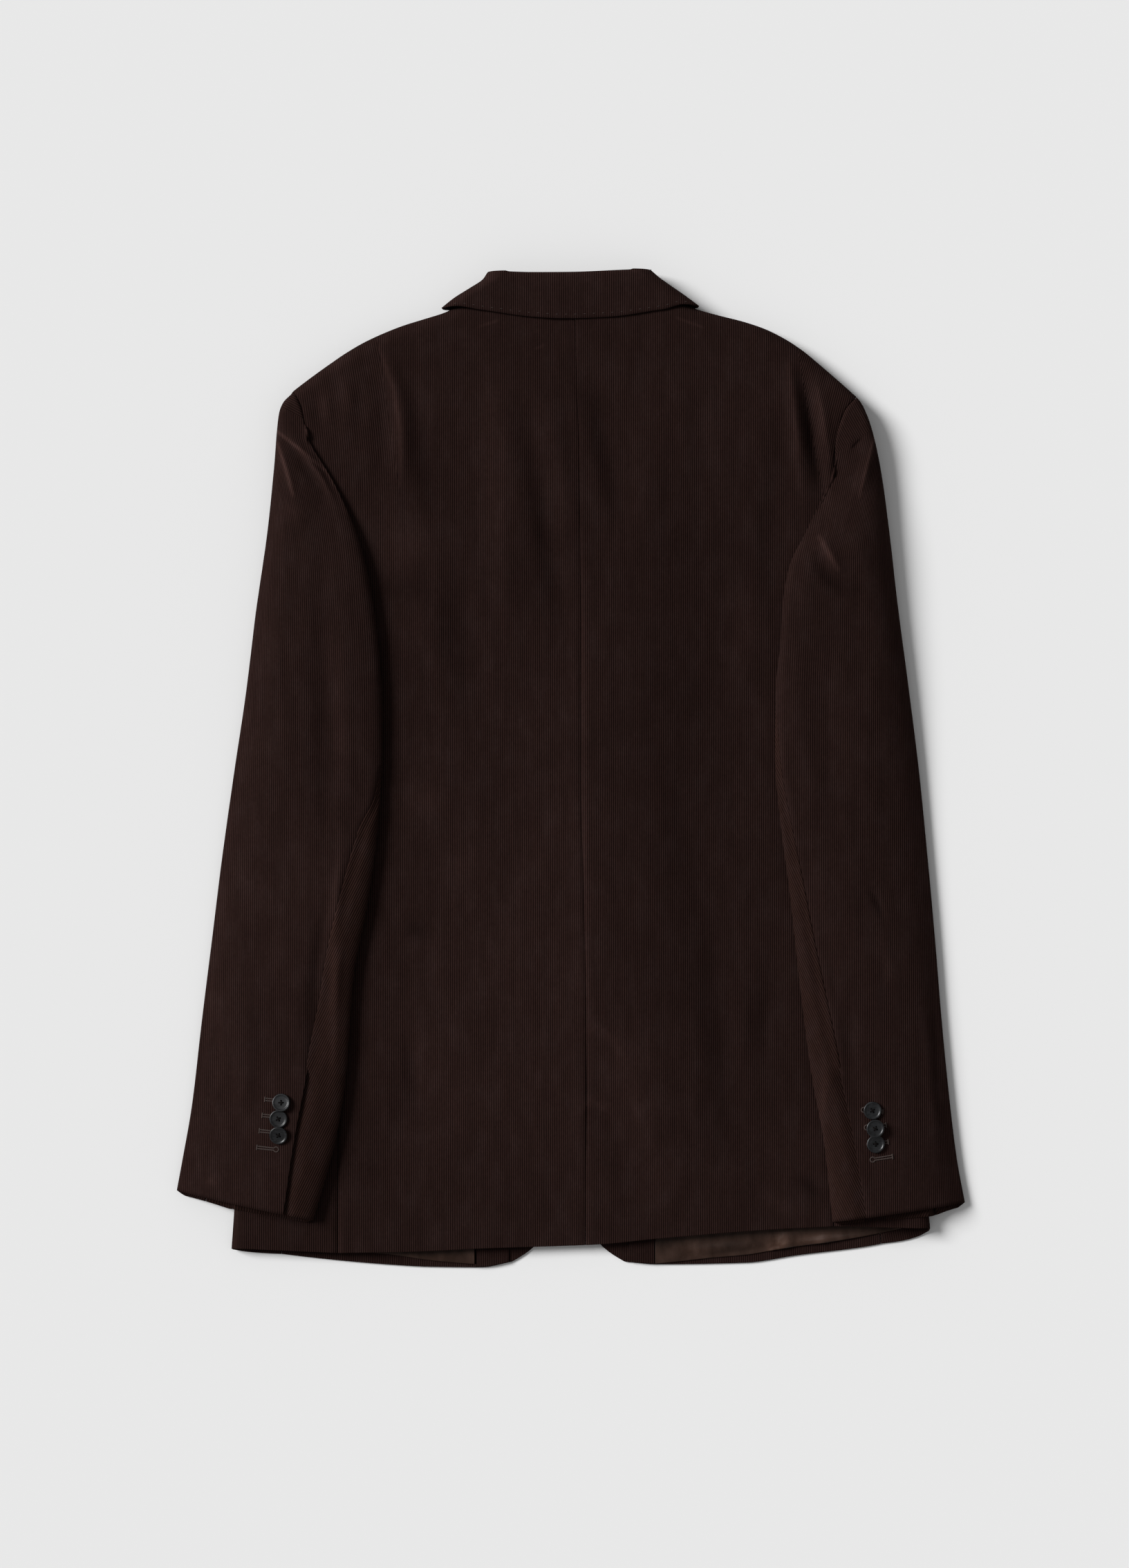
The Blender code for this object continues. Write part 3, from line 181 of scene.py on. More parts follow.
BACK_PAINTED_SHADING_AND_TONES = (  # painted light and shade along the folds, lighter on ridges and darker in troughs, and broader lighter and darker patches: share by which the pile is painted lighter, half width, line
    (0.22, 12, ((-64, 348), (-60, 300), (-57, 230), (-55, 150))),
    (-0.30, 9, ((-42, 320), (-36, 285), (-31, 250), (-23, 200), (-13, 140), (-5, 80))),
    (0.12, 7, ((-20, 312), (-12, 262), (-3, 222), (2, 186))),
    (-0.30, 9, ((6, 338), (13, 318), (22, 298), (28, 262), (38, 225), (48, 195))),
    (-0.26, 11, ((-122, 304), (-119, 268), (-117, 225), (-112, 200))),
    (0.42, 4, ((-157, 350), (-147, 322), (-141, 292), (-140, 235))),
    (0.34, 22, ((-164, 194), (-138, 186), (-116, 178))), (-0.16, 13, ((-160, 150), (-130, 150), (-108, 142))),
    (-0.18, 12, ((-98, 190), (-95, 130), (-86, 85), (-76, 40))),
    (0.20, 36, ((-38, 110), (-32, 20), (-36, -80), (-34, -200), (-44, -320), (-52, -392))),
    (0.20, 40, ((-105, -20), (-100, -130), (-104, -240), (-112, -385))),
    (-0.21, 48, ((90, 330), (96, 220), (92, 100), (88, 0), (98, -110), (116, -230), (140, -360))),
    (0.13, 24, ((-6, 110), (0, 10), (4, -120), (0, -240), (-4, -380))),
    (-0.16, 12, ((112, -110), (116, -180), (126, -260), (136, -350))),
    (-0.18, 9, ((160, -140), (163, -195), (158, -250))), (0.14, 14, ((138, 165), (146, 130), (150, 95))),
    (-0.22, 8, ((166, 320), (166, 250), (160, 190), (163, 100))),
    (0.26, 13, ((-138, -26), (-116, -28), (-98, -34))), (0.14, 15, ((-98, -72), (-76, -84))),
    (-0.26, 7, ((-142, -130), (-126, -134), (-112, -138))),
    (-0.20, 5, ((-137, -212), (-133, -250), (-129, -292))),
    (0.22, 2.2, ((9, 235), (10, 150), (11.5, 60), (12, -30), (15, -150))),
    (0.20, 4, ((8, -224), (22, -215), (38, -226), (50, -252))),
    (0.28, 4, ((4, -287), (18, -277), (32, -283), (42, -292))),
    (0.24, 20, ((36, -200), (50, -270), (70, -330), (84, -388))),
    (-0.28, 6, ((186, -336), (200, -348), (214, -360))), (0.20, 6, ((160, -354), (180, -366), (206, -374))),
    (0.3, 5, ((180, 340), (183, 310), (187, 270), (193, 225))),
    (0.3, 4, ((203, 318), (208, 296), (213, 262))),
    (-0.55, 3.5, ((191, 332), (196.5, 302), (200.5, 272), (206, 245), (211, 224))),
    (0.3, 4, ((-190, 326), (-186, 310), (-184, 292))), (0.25, 6, ((-204, 318), (-203, 300), (-196, 292))),
)

CENTRE_SEAM = table(
    "y x", (-397, 12.5), (-222, 12.9), (-118, 11.2), (-8, 8.5), (124, 8.3), (272, 6.6), (324, 4.9),
    (387, 3.7),
)
BACK_HEM = table(
    "x y", (-284, -398.9), (-220, -402.7), (-153, -402.3), (-68, -398.8), (24, -395.5), (77, -390.4),
    (188, -382.1), (282, -378.9), (302, -381.6),
)
HEM_CENTRE = 12.0
NECK_DIP = 387.0  # where the back neckline crosses the centre seam

# The body's side edges, which the sleeves hide, and its back and side seams
BODY = table(
    "y left_edge left_seam right_edge right_seam", (-405, -283.5, -194, 301.8, 219),
    (-194, -268, -194, 282, 221), (-60, -254, -199, 267, 222), (60, -250, -208, 261, 226),
    (125, -250, -216, 260, 230), (160, -250, -222, 260, 234),
)
SIDE_ROUND = 9.0  # the side panel turns under within this width
UNDER_REACH = table("y reach", (-405, 42.0), (-100, 36.0), (140, 19.0))  # side edge to front seam, underneath
SEAM_TOP = 160.0  # the back and side seam meets the armhole here
ARMPIT = 125.0
UNDERARM_FRONT = 140.0  # the side and front seam meets the armhole here

ARMHOLE_BACK = {
    "left": ((-231, 315), (-224, 301), (-220.2, 275), (-215, 238), (-214, 200), (-222, 160)),
    "right": ((238, 310), (227, 297), (219.5, 268), (218, 236), (221, 200), (234, 160)),
}
SHOULDER = {
    "left": ((-88, 388), (-103, 381), (-142, 368.6), (-173, 355), (-205.6, 334), (-224.5, 320), (-231, 315)),
    "right": ((88, 389.5), (105, 383), (157, 368.6), (184, 355), (210.7, 334), (226.8, 320), (238, 310)),
}
SHOULDER_ROUND = 10.0
SIDE_HEM = {  # Y of the side panel's hem at the back seam, round the side and at the front seam
    "left": (-402.8, -399.4, -404.5),
    "right": (-380.2, -381.6, -396.0),
}


def folds_at(folds, x, y):
    """Sum of soft ridges and troughs, each fading towards both of its ends."""
    total = np.zeros(np.shape(x))
    for height, half_width, line in folds:
        away, share = distance_to(line, x, y)
        fade = np.sin(np.pi * np.clip(share, 0.04, 0.96))
        total = total + height * fade * bell(away / half_width)
    return total


def back_height(x, y, folded=True):
    """Outer face of the back over the surface, before its edges turn down."""
    lift_x = (x - HEM_LIFT_AT[0]) / HEM_LIFT_REACH[0]
    lift_y = (y - HEM_LIFT_AT[1]) / HEM_LIFT_REACH[1]
    height = read(BACK_RISE, "height", y)
    height = height + HEM_LIFT * np.exp(-(lift_x**2) - lift_y**2)
    if folded:
        height = height + folds_at(BACK_FOLDS, x, y)
    return height


def turned(away, reach):
    """Share of the half height that a turned edge has lost at this distance from it."""
    return 1 - np.sqrt(np.clip(1 - (1 - np.clip(away / reach, 0, 1)) ** 2, 0, 1))


def patch(bottom, top, inner, outer):
    """A four-sided patch filled between its edges; bottom and top run from inner to outer."""
    u = edge_shares(0.5 * (bottom + top))[None, :, None]
    v = edge_shares(0.5 * (inner + outer))[:, None, None]
    across = mix(inner[:, None], outer[:, None], u)
    up = mix(bottom[None], top[None], v)
    corners = mix(mix(bottom[0], bottom[-1], u), mix(top[0], top[-1], u), v)
    return across + up - corners


def edge_shares(points):
    length = passed(points)
    return length / length[-1]


def normals_of(grid):
    """Unit normals of a grid of points, facing the way that rows cross columns."""
    down = np.gradient(grid, axis=0)
    across = np.gradient(grid, axis=1)
    normal = np.cross(across, down)
    return normal / np.linalg.norm(normal, axis=-1, keepdims=True)


def with_z(flat, z):
    return np.concatenate([flat, np.asarray(z)[..., None]], axis=-1)


def part_seams(grid, first_row=0.0, last_row=0.0, first_column=0.0, last_column=0.0):
    """Draws the named edges of a grid back by a distance, so that neighbours don't touch."""
    grid = grid.copy()
    for distance, edge, inner in (
        (first_row, (0, slice(None)), (1, slice(None))),
        (last_row, (-1, slice(None)), (-2, slice(None))),
        (first_column, (slice(None), 0), (slice(None), 1)),
        (last_column, (slice(None), -1), (slice(None), -2)),
    ):
        if distance:
            towards = grid[inner] - grid[edge]
            towards = towards / np.linalg.norm(towards, axis=-1, keepdims=True)
            grid[edge] += towards * distance
    return grid


SEAM_ROWS = np.r_[0, 0.0095, 0.019, 0.028, 0.038, 0.05, 0.066, np.linspace(0, 1, 13)[1:]]
ARMHOLE_ROWS = np.array([0.14, 0.28, 0.42, 0.56, 0.7, 0.82, 0.91, 0.97])
TURN_ROWS = 1 - 0.055 * (1 - np.sin(np.radians((0, 30, 55, 75, 90))))
UPPER_ROWS = np.r_[ARMHOLE_ROWS[ARMHOLE_ROWS < TURN_ROWS[0] - 0.02], TURN_ROWS]


def side_rows(side, where):
    """Points up the back seam or the front seam of a side panel, shared by both of its neighbours."""
    if where == "back":
        y = mix(SIDE_HEM[side][0], SEAM_TOP, SEAM_ROWS)
        return joined(read(BODY, side + "_seam", y), y)
    y = mix(SIDE_HEM[side][2], UNDERARM_FRONT, SEAM_ROWS)
    return joined(front_seam_x(side, y), y)


def front_seam_x(side, y):
    """Where the side panel meets the front, on the underside."""
    edge = read(BODY, side + "_edge", y)
    return edge - OUT[side] * read(UNDER_REACH, "reach", y)


def back_grid(side):
    """Outer face of one back panel, from the centre seam out and from the hem up."""
    armhole = along(ARMHOLE_BACK[side][::-1], UPPER_ROWS)
    outer = np.concatenate([side_rows(side, "back"), armhole])
    low = mix(read(BACK_HEM, "y", HEM_CENTRE), SEAM_TOP, SEAM_ROWS)
    centre_y = np.r_[low, mix(SEAM_TOP, NECK_DIP, UPPER_ROWS)]
    inner = joined(read(CENTRE_SEAM, "x", centre_y), centre_y)
    neck = SHOULDER[side][0]
    neckline = along(((inner[-1, 0], NECK_DIP), (neck[0] * 0.55, NECK_DIP + 0.6), neck), np.linspace(0, 1, 6))
    top = np.concatenate([neckline, along(SHOULDER[side], np.linspace(0, 1, 10)[1:])])
    across = edge_shares(top)
    hem_x = mix(inner[0, 0], outer[0, 0], across)
    bottom = joined(hem_x, read(BACK_HEM, "y", hem_x))
    bottom[0] = inner[0]
    bottom[-1] = outer[0]
    flat = patch(bottom, top, inner, outer)
    x = flat[..., 0]
    y = flat[..., 1]
    height = back_height(x, y, folded=False)
    away, _ = distance_to(SHOULDER[side], x, y)
    away[-1] = 0.0
    past_neck = ease((np.abs(x) - abs(neck[0]) + 8) / 8)
    return with_z(flat, height * (1 - 0.5 * turned(away, SHOULDER_ROUND) * past_neck))


def undulation(x, y, size, seed):
    """Unit swell of cloth that was never quite flat: three crossing waves of unequal length."""
    a = 2 * math.pi / size
    first = np.sin(a * (x + 0.31 * y) + seed)
    second = np.sin(a * (0.62 * y - 0.27 * x) + 2.1 * seed)
    third = np.sin(a * 1.7 * x + 1.3 * a * y * 0.37 + 3.7 * seed)
    return (first + second + third) / 3


def refine(grid, spacing, fine=(0.7, 1.6, 2.9)):
    """The same surface with closer lines, closest beside its edges."""
    fine = np.asarray(fine)
    for axis in (0, 1):
        lines = np.moveaxis(grid, axis, 0)
        marks = np.r_[0, np.cumsum(apart(lines[1:], lines[:-1]).mean(axis=1))]
        even = np.linspace(0, marks[-1], int(marks[-1] / spacing) + 2)
        at = np.unique(np.r_[even, fine, marks[-1] - fine])
        at = at[np.r_[True, np.diff(at) > 0.25]]
        grid = np.moveaxis(fair(marks, lines, at), 0, axis)
    return grid


def seam_roll(grid, edge, depth=0.8, ridge=0.35):
    """Height lost where the cloth turns into a seam, with the ridge of its allowance beside it."""
    away = apart(grid, edge)
    return ridge * bell((away - 5) / 3.5) - depth * bell(away / 1.5)


class Value:
    """A number in a shader; Python's operators add its Math nodes."""

    def __init__(self, finish, socket):
        self.finish = finish
        self.socket = socket

    def math(self, operation, *others):
        return self.finish.add("ShaderNodeMath", {"operation": operation}, dict(enumerate((self, *others))))

    def __add__(self, other):
        return self.math("ADD", other)

    def __sub__(self, other):
        return self.math("SUBTRACT", other)

    def __rsub__(self, other):
        return self.math("MULTIPLY_ADD", -1.0, other)

    def __mul__(self, other):
        return self.math("MULTIPLY", other)

    def __pow__(self, other):
        return self.math("POWER", other)

    __radd__ = __add__
    __rmul__ = __mul__

    def between(self, low, high):
        """0 at low, 1 at high, held beyond."""
        return ((self - low) * (1.0 / (high - low))).math("MAXIMUM", 0.0).math("MINIMUM", 1.0)


class Finish:
    """A material; constants go straight onto the shader's sockets, the rest through its nodes."""

    def __init__(self, name, **constants):
        self.material = bpy.data.materials.new(name)
        self.material.use_nodes = True
        self.tree = self.material.node_tree
        self.shader = self.tree.nodes["Principled BSDF"]
        for socket, value in constants.items():
            self.shader.inputs[socket.replace("_", " ")].default_value = value

    def add(self, kind, settings=None, inputs=None, out=0):
        node = self.tree.nodes.new(kind)
        for setting, value in (settings or {}).items():
            setattr(node, setting, value)
        for socket, value in (inputs or {}).items():
            self.join(value, node.inputs[socket])
        return Value(self, node.outputs[out])

    def join(self, value, socket):
        if isinstance(value, Value):
            self.tree.links.new(value.socket, socket)
        else:
            socket.default_value = value

    def feed(self, **sockets):
        for socket, value in sockets.items():
            self.join(value, self.shader.inputs[socket.replace("_", " ")])
        return self.material

    def place(self):
        return self.add("ShaderNodeTexCoord", out=3)

    def mark(self, name):
        """A number that the mesh holds at each of its points."""
        return self.add("ShaderNodeAttribute", {"attribute_name": name}, out=2)

    def parts(self, vector):
        return [self.add("ShaderNodeSeparateXYZ", inputs={0: vector}, out=i) for i in range(2)]

    def noise(self, place, stretch, detail=2.0, roughness=0.5):
        """Noise on a place whose axes are first stretched apart."""
        spread = self.add("ShaderNodeVectorMath", {"operation": "MULTIPLY"}, {0: place, 1: stretch})
        sizes = {"Vector": spread, "Scale": 1.0, "Detail": detail, "Roughness": roughness}
        return self.add("ShaderNodeTexNoise", {"noise_dimensions": "3D"}, sizes)

    def blend(self, share, a, b):
        """Colour a where share is 0 and b where it is 1."""
        return self.add("ShaderNodeMix", {"data_type": "RGBA"}, {0: share, 6: a, 7: b}, out=2)

    def tint(self, colour, value):
        """A colour made lighter or darker by a number."""
        shade = self.add("ShaderNodeCombineXYZ", inputs={0: value, 1: value, 2: value})
        return self.add("ShaderNodeVectorMath", {"operation": "MULTIPLY"}, {0: colour, 1: shade})

    def relief(self, height, depth):
        """A normal from a height of 0 to 1 that stands for a depth in millimetres."""
        inputs = {"Height": height, "Distance": depth * MM, "Strength": 1.0}
        return self.add("ShaderNodeBump", inputs=inputs)


WALE = 1.81  # 14 wales to the inch
PILE = (0.0218, 0.0111, 0.0095)
# The ground weave between the wales, painted darker for the shade that falls into the grooves
GROOVE_IN_SHADE = (0.0056, 0.0027, 0.0023)


def corduroy(name, lightness=1.0, warmth=0.0, marks=None, turns=False):
    """Fine corduroy: rounded wales of cut pile, the pile stroked this way and that; the grooves between wales
    are painted darker for their shade, and light and shade along the folds are painted on from the mesh.
    """
    sheen = {"Sheen_Weight": 0.012, "Sheen_Roughness": 0.35, "Sheen_Tint": (0.75, 0.42, 0.34, 1)}
    cloth = Finish(name, Specular_IOR_Level=0.01, **sheen)
    uv = cloth.add("ShaderNodeUVMap", {"uv_map": "cloth"})
    if turns:  # beyond a crease the cloth, and so its wales, lies another way
        beyond = cloth.mark("beyond")
        other = cloth.add("ShaderNodeUVMap", {"uv_map": "beyond_crease"})
        picked = {0: beyond.math("GREATER_THAN", 0.0), 4: uv, 5: other}
        uv = cloth.add("ShaderNodeMix", {"data_type": "VECTOR"}, picked, out=1)
    across, up = cloth.parts(uv)
    place = cloth.place()
    waver = cloth.noise(uv, (160, 22, 1), detail=1.0)
    wale = (across * (math.pi / (WALE * MM)) + waver * 1.1).math("SINE").math("ABSOLUTE")
    tuft = cloth.noise(uv, (2600, 900, 1))
    fuzz = cloth.noise(uv, (700, 260, 1))
    clouds = cloth.noise(place, (22, 11, 22), detail=3.0, roughness=0.55)
    patches = cloth.noise(place, (75, 38, 75), detail=3.0, roughness=0.6)
    stroke = cloth.noise(uv, (220, 16, 1), roughness=0.6)
    # Painted light and shade from the mesh: lighter on fold ridges and sides turned to the light, darker in
    # troughs
    laid = cloth.mark("nap_and_painted_shading")
    nap_and_painted_shading = clouds.between(0.3, 0.7) * 0.16 + patches.between(0.3, 0.7) * 0.16 + stroke.between(0.3, 0.7) * 0.14
    pile = (nap_and_painted_shading + 0.77) * (fuzz * 0.5 + tuft * 0.4 + 0.55) * (laid + 1.0) * lightness
    # Fine lines: streaks, and painted highlights and shade along folds
    if marks is not None:
        pile = pile * (marks(cloth, place) + 1.0)
    ridge = wale ** 0.8
    red, green, blue = PILE
    tone = (red * (1 + 0.04 * warmth), green, blue * (1 - 0.06 * warmth), 1)
    worn = cloth.blend(patches.between(0.45, 0.8), tone, (red * 1.12, green * 1.22, blue * 1.28, 1))
    colour = cloth.tint(cloth.blend(ridge, (*GROOVE_IN_SHADE, 1), worn), pile)
    height = wale * 0.8 + fuzz * 0.12 + tuft * 0.08
    rough = 0.95 - nap_and_painted_shading * 0.12
    return cloth.feed(Base_Color=colour, Roughness=rough, Normal=cloth.relief(height, 0.42))


# The satin's own colour, and a lighter painted sheen that cloudy noise blends into it
FLOAT_TONE = (0.0200, 0.0101, 0.0068, 1)
FLOAT_PAINTED_SHEEN = (0.0425, 0.0238, 0.0178, 1)


def satin(name):
    """Satin lining: long floats over a fine twill, glossy along its wrinkles, with a lighter painted sheen
    blended in cloudy patches and painted highlights and shade from the mesh.
    """
    sheen = {"Sheen_Weight": 0.02, "Sheen_Roughness": 0.3, "Sheen_Tint": (0.9, 0.6, 0.45, 1)}
    cloth = Finish(name, Specular_IOR_Level=0.10, **sheen)
    uv = cloth.add("ShaderNodeUVMap", {"uv_map": "cloth"})
    across, up = cloth.parts(uv)
    twill = ((across + up * 0.62) * (2 * math.pi / (0.45 * MM))).math("SINE")
    thread = cloth.noise(uv, (4200, 500, 1), detail=1.0)
    shade = cloth.noise(uv, (90, 55, 1), detail=3.0)
    tone = cloth.blend(shade.between(0.35, 0.75), FLOAT_TONE, FLOAT_PAINTED_SHEEN)
    # Painted highlights and shade along the satin's wrinkles, from the mesh
    laid = cloth.mark("nap_and_painted_shading")
    colour = cloth.tint(tone, (thread * 0.4 + 0.8) * (laid + 1.0))
    height = twill * 0.5 + thread * 0.5
    return cloth.feed(Base_Color=colour, Roughness=0.36 + thread * 0.16, Normal=cloth.relief(height, 0.05))


LINING = satin("satin_inside")


def mesh_of(form, name):
    """A mesh of finished bmesh work."""
    mesh = bpy.data.meshes.new(name)
    form.to_mesh(mesh)
    form.free()
    return mesh


def put(name, data):
    """An object in the scene."""
    thing = bpy.data.objects.new(name, data)
    bpy.context.scene.collection.objects.link(thing)
    return thing


def flat_size(grid):
    """Width, length and area of a piece's cut, in metres."""
    diagonals = np.cross(grid[1:, 1:] - grid[:-1, :-1], grid[1:, :-1] - grid[:-1, 1:])
    area = 0.5 * np.linalg.norm(diagonals, axis=-1).sum() * MM * MM
    width = apart(grid[:, 1:], grid[:, :-1]).sum(axis=1).max() * MM
    length = max(apart(grid[1:], grid[:-1]).sum(axis=0).max() * MM, area / width)
    return width, length, min(area, width * length)


def cloth_piece(
    name, node, rests_on, grid, finishes, uv=None, wall=WALL,
    up_at=(0.5, 0.5), up=True, nap_and_painted_shading=None, turned_up=None, crease=None,
):
    """One cut of cloth: its outer face from a grid of points, then its thickness.

    Face up or down is told at one share of the rows and columns. nap_and_painted_shading is the share by
    which the cloth is painted lighter or darker for light and shade, turned_up is where the inside shows the
    cloth again, and crease is what the cloth's turned wales need.
    """
    rows, columns = grid.shape[:2]
    form = bmesh.new()
    bmesh.ops.create_grid(form, x_segments=columns - 1, y_segments=rows - 1, size=0.5)
    mesh = mesh_of(form, name)
    mesh.vertices.foreach_set("co", (grid * MM).astype(np.float32).ravel())
    corners = np.empty(len(mesh.loops), np.int32)
    mesh.loops.foreach_get("vertex_index", corners)

    def unroll(layer, places):
        at_corners = (places * MM).reshape(-1, 2)[corners].astype(np.float32)
        mesh.uv_layers.new(name=layer).data.foreach_set("uv", at_corners.ravel())

    def hold(mark, values):
        made = mesh.attributes.new(mark, "FLOAT", "POINT")
        made.data.foreach_set("value", values.astype(np.float32).ravel())

    unroll("cloth", grid[..., :2] if uv is None else uv)
    if crease is not None:
        unroll("beyond_crease", crease[1])
        hold("beyond", crease[0])
    r, c = (int(share * (size - 1)) for share, size in zip(up_at, (rows, columns)))
    if (normals_of(grid)[r, c, 2] > 0) != up:
        mesh.flip_normals()
    for finish in finishes:
        mesh.materials.append(finish)
    if nap_and_painted_shading is not None:
        hold("nap_and_painted_shading", nap_and_painted_shading)
    if turned_up is not None:
        mesh.materials.append(finishes[0])
        mesh.materials.append(finishes[0])
        own = np.where(turned_up[:-1, :-1], 2, 0).astype(np.int32)
        mesh.polygons.foreach_set("material_index", own.ravel())
    mesh.shade_smooth()
    mesh.update()
    piece = put(name, mesh)
    shell = piece.modifiers.new("wall", "SOLIDIFY")
    shell.thickness = wall * MM
    shell.offset = -1.0
    shell.use_even_offset = False
    shell.material_offset = 1 if len(finishes) > 1 else 0
    shell.material_offset_rim = 0
    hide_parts(node)
    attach(piece, "root")
    width, length, area = flat_size(grid)


def left_of(line, x, y):
    """How far places lie to the left of a line."""
    (x0, y0), (x1, y1) = line
    return ((x1 - x0) * (y - y0) - (y1 - y0) * (x - x0)) / math.hypot(x1 - x0, y1 - y0)


def askew(x, y, degrees):
    """Places across and along wales that lie this far over."""
    c, s = math.cos(math.radians(degrees)), math.sin(math.radians(degrees))
    return joined(x * c + y * s, y * c - x * s)


def streaks(lines):
    """Fine lines painted lighter or darker on the pile, for streaks and for highlights and shade along folds:
    (share by which it is lighter, half width, start, end).
    """

    def total(cloth, place):
        x, y = cloth.parts(place)
        marks = []
        for amount, half, (x0, y0), (x1, y1) in lines:
            length = math.hypot(x1 - x0, y1 - y0)
            dx, dy = (x1 - x0) / length, (y1 - y0) / length
            run = (x * dx + y * dy) - (x0 * dx + y0 * dy) * MM
            off = ((y * dx - x * dy) - (y0 * dx - x0 * dy) * MM).math("ABSOLUTE")
            ends = run.between(-2 * MM, 2 * MM) * (1 - run.between((length - 2) * MM, (length + 2) * MM))
            marks.append((1 - off.between(0.2 * half * MM, half * MM)) * ends * amount)
        while len(marks) > 1:
            marks.append(marks.pop(0) + marks.pop(0))
        return marks[0]

    return total


# Faint oblique streaks that an iron left below the collar, and painted highlights along the ridges of the
# pulls by the armholes
BACK_STREAKS_AND_HIGHLIGHTS = (
    (0.35, 2.0, (-77, 367), (-60, 372.5)), (0.35, 2.0, (87, 375), (110, 366.5)),
    (0.35, 2.0, (-30, 349), (-22, 352)), (0.30, 3.0, (-160, 352), (-148, 318)),
    (0.30, 3.0, (-148, 318), (-141, 280)), (0.22, 2.5, (-141, 280), (-141, 236)),
    (0.28, 3.0, (180, 338), (184, 305)), (0.25, 2.5, (184, 305), (189, 262)),
    (0.30, 2.5, (204, 318), (210, 286)), (0.30, 2.5, (210, 286), (214, 256)),
)
BACK_CLOTH = corduroy("corduroy_back", marks=streaks(BACK_STREAKS_AND_HIGHLIGHTS), turns=True)
ARMHOLE_CREASE = {"left": ((-141, 225), (-160, 352)), "right": ((210, 226), (188, 350))}
FAN = {"left": (215.0, 0.20), "right": (180.0, -0.36)}  # beyond it the wales lean over, from this Y up
FAN_TOP = 352.0  # where they lean as far as that
HEM_TURN_TOP = -345.0  # the hem is turned up inside as far as this


def make_back(side):
    grid = part_seams(back_grid(side), first_column=0.02, last_column=SEAM_GAP / 2, last_row=SEAM_GAP)
    grid = refine(grid, spacing=3.6)
    x = grid[..., 0].copy()
    y = grid[..., 1].copy()
    grid[..., 2] += seam_roll(grid, grid[:, :1]) * (0.7 - 0.5 * ease((y - 40) / 280))
    grid[..., 2] += seam_roll(grid, grid[:, -1:]) * (1 - 0.5 * ease((y - 180) / 60))
    from_shoulder, _ = distance_to(SHOULDER[side], x, y)
    swell = folds_at(BACK_FOLDS, x, y) + 0.35 * undulation(x, y, size=120, seed=OUT[side])
    swell += 0.12 * undulation(x, y, size=37, seed=2)
    grid[..., 2] += swell * ease(from_shoulder / 16)
    start, lean = FAN[side]
    fanned = joined(x + lean * np.maximum(y - start, 0) ** 2 / (2 * (FAN_TOP - start)), y)
    cloth_piece(
        "back_panel_" + side, "back_" + side, ["side_" + side], grid, (BACK_CLOTH, LINING),
        # painted light and shade along the back's folds, with broader lighter and darker patches
        nap_and_painted_shading=folds_at(BACK_PAINTED_SHADING_AND_TONES, x, y),
        turned_up=y < HEM_TURN_TOP,
        crease=(-OUT[side] * left_of(ARMHOLE_CREASE[side], x, y), fanned),
    )


for side in OUT:
    make_back(side)


# ==== The side panels ====
# A narrow panel of the same cloth under each arm. It starts at the back seam, turns round the side of the
# flat jacket and meets the front underneath; the sleeves hide most of it.


def side_grid(side):
    """Outer face of one side panel: over the top, round the side edge and under to the front seam."""
    out = OUT[side]
    over = np.linspace(0, 1, 4)
    turn = 1 + np.linspace(0, 1, 8)[1:]
    under = 2 + np.linspace(0, 1, 3)[1:]
    q = np.r_[over, turn, under][None, :]
    at_back, at_fold, at_front = SIDE_HEM[side]
    drop = mix(at_fold, at_front, np.array((0, 0.55, 0.85)))
    hem = np.interp(q, (0, 1, 1.4, 2, 2.5, 3), (at_back, at_fold, *drop, at_front))
    top = np.interp(q, (0, 1, 1.3, 1.8, 2.2, 3), (SEAM_TOP, ARMPIT + 4, *([ARMPIT - 4] * 3), UNDERARM_FRONT))
    y = mix(hem, top, SEAM_ROWS[:, None])
    edge = read(BODY, side + "_edge", y)
    seam = read(BODY, side + "_seam", y)
    start = edge - out * SIDE_ROUND
    angle = np.clip(q - 1, 0, 1) * np.pi
    x_over = mix(seam, start, q)
    x_under = mix(start, front_seam_x(side, y), q - 2)
    x = np.where(q <= 1, x_over, np.where(q <= 2, start + out * SIDE_ROUND * np.sin(angle), x_under))
    height = back_height(np.where(q <= 1, x, start), y, folded=False)
    z = np.where(q <= 1, height, np.where(q <= 2, height * 0.5 * (1 + np.cos(angle)), 0))
    return joined(x, y, z)


def arc_uv(grid, column, way):
    """Places on the cloth: across its wales round the piece from one column, and up along them."""
    steps = np.hypot(np.diff(grid[..., 0], axis=1), np.diff(grid[..., 2], axis=1))
    gone = np.concatenate([np.zeros((len(grid), 1)), np.cumsum(steps, axis=1)], axis=1)
    across = grid[:, [column], 0] + way * (gone - gone[:, [column]])
    return joined(across, grid[..., 1])


SIDE_CLOTH = corduroy("corduroy_side", lightness=0.97)


def make_side(side):
    grid = part_seams(side_grid(side), first_column=SEAM_GAP / 2, last_column=SEAM_GAP / 2)
    grid = refine(grid, spacing=4.2)
    grid[..., 2] += seam_roll(grid, grid[:, :1])
    cloth_piece(
        "side_panel_" + side, "side_" + side, ["back_" + side], grid, (SIDE_CLOTH, LINING),
        uv=arc_uv(grid, 0, OUT[side]),
        up_at=(0.5, 0.1),
        turned_up=grid[..., 1] < HEM_TURN_TOP,
    )


for side in OUT:
    make_side(side)


# ==== The fronts, their lapels and what shows inside their hems ====
# The fronts lie face down on the surface with rounded quarters, and hang lower than the back. Each lapel is
# pressed back under its front; a corduroy facing and brown satin line the inside of the hem.

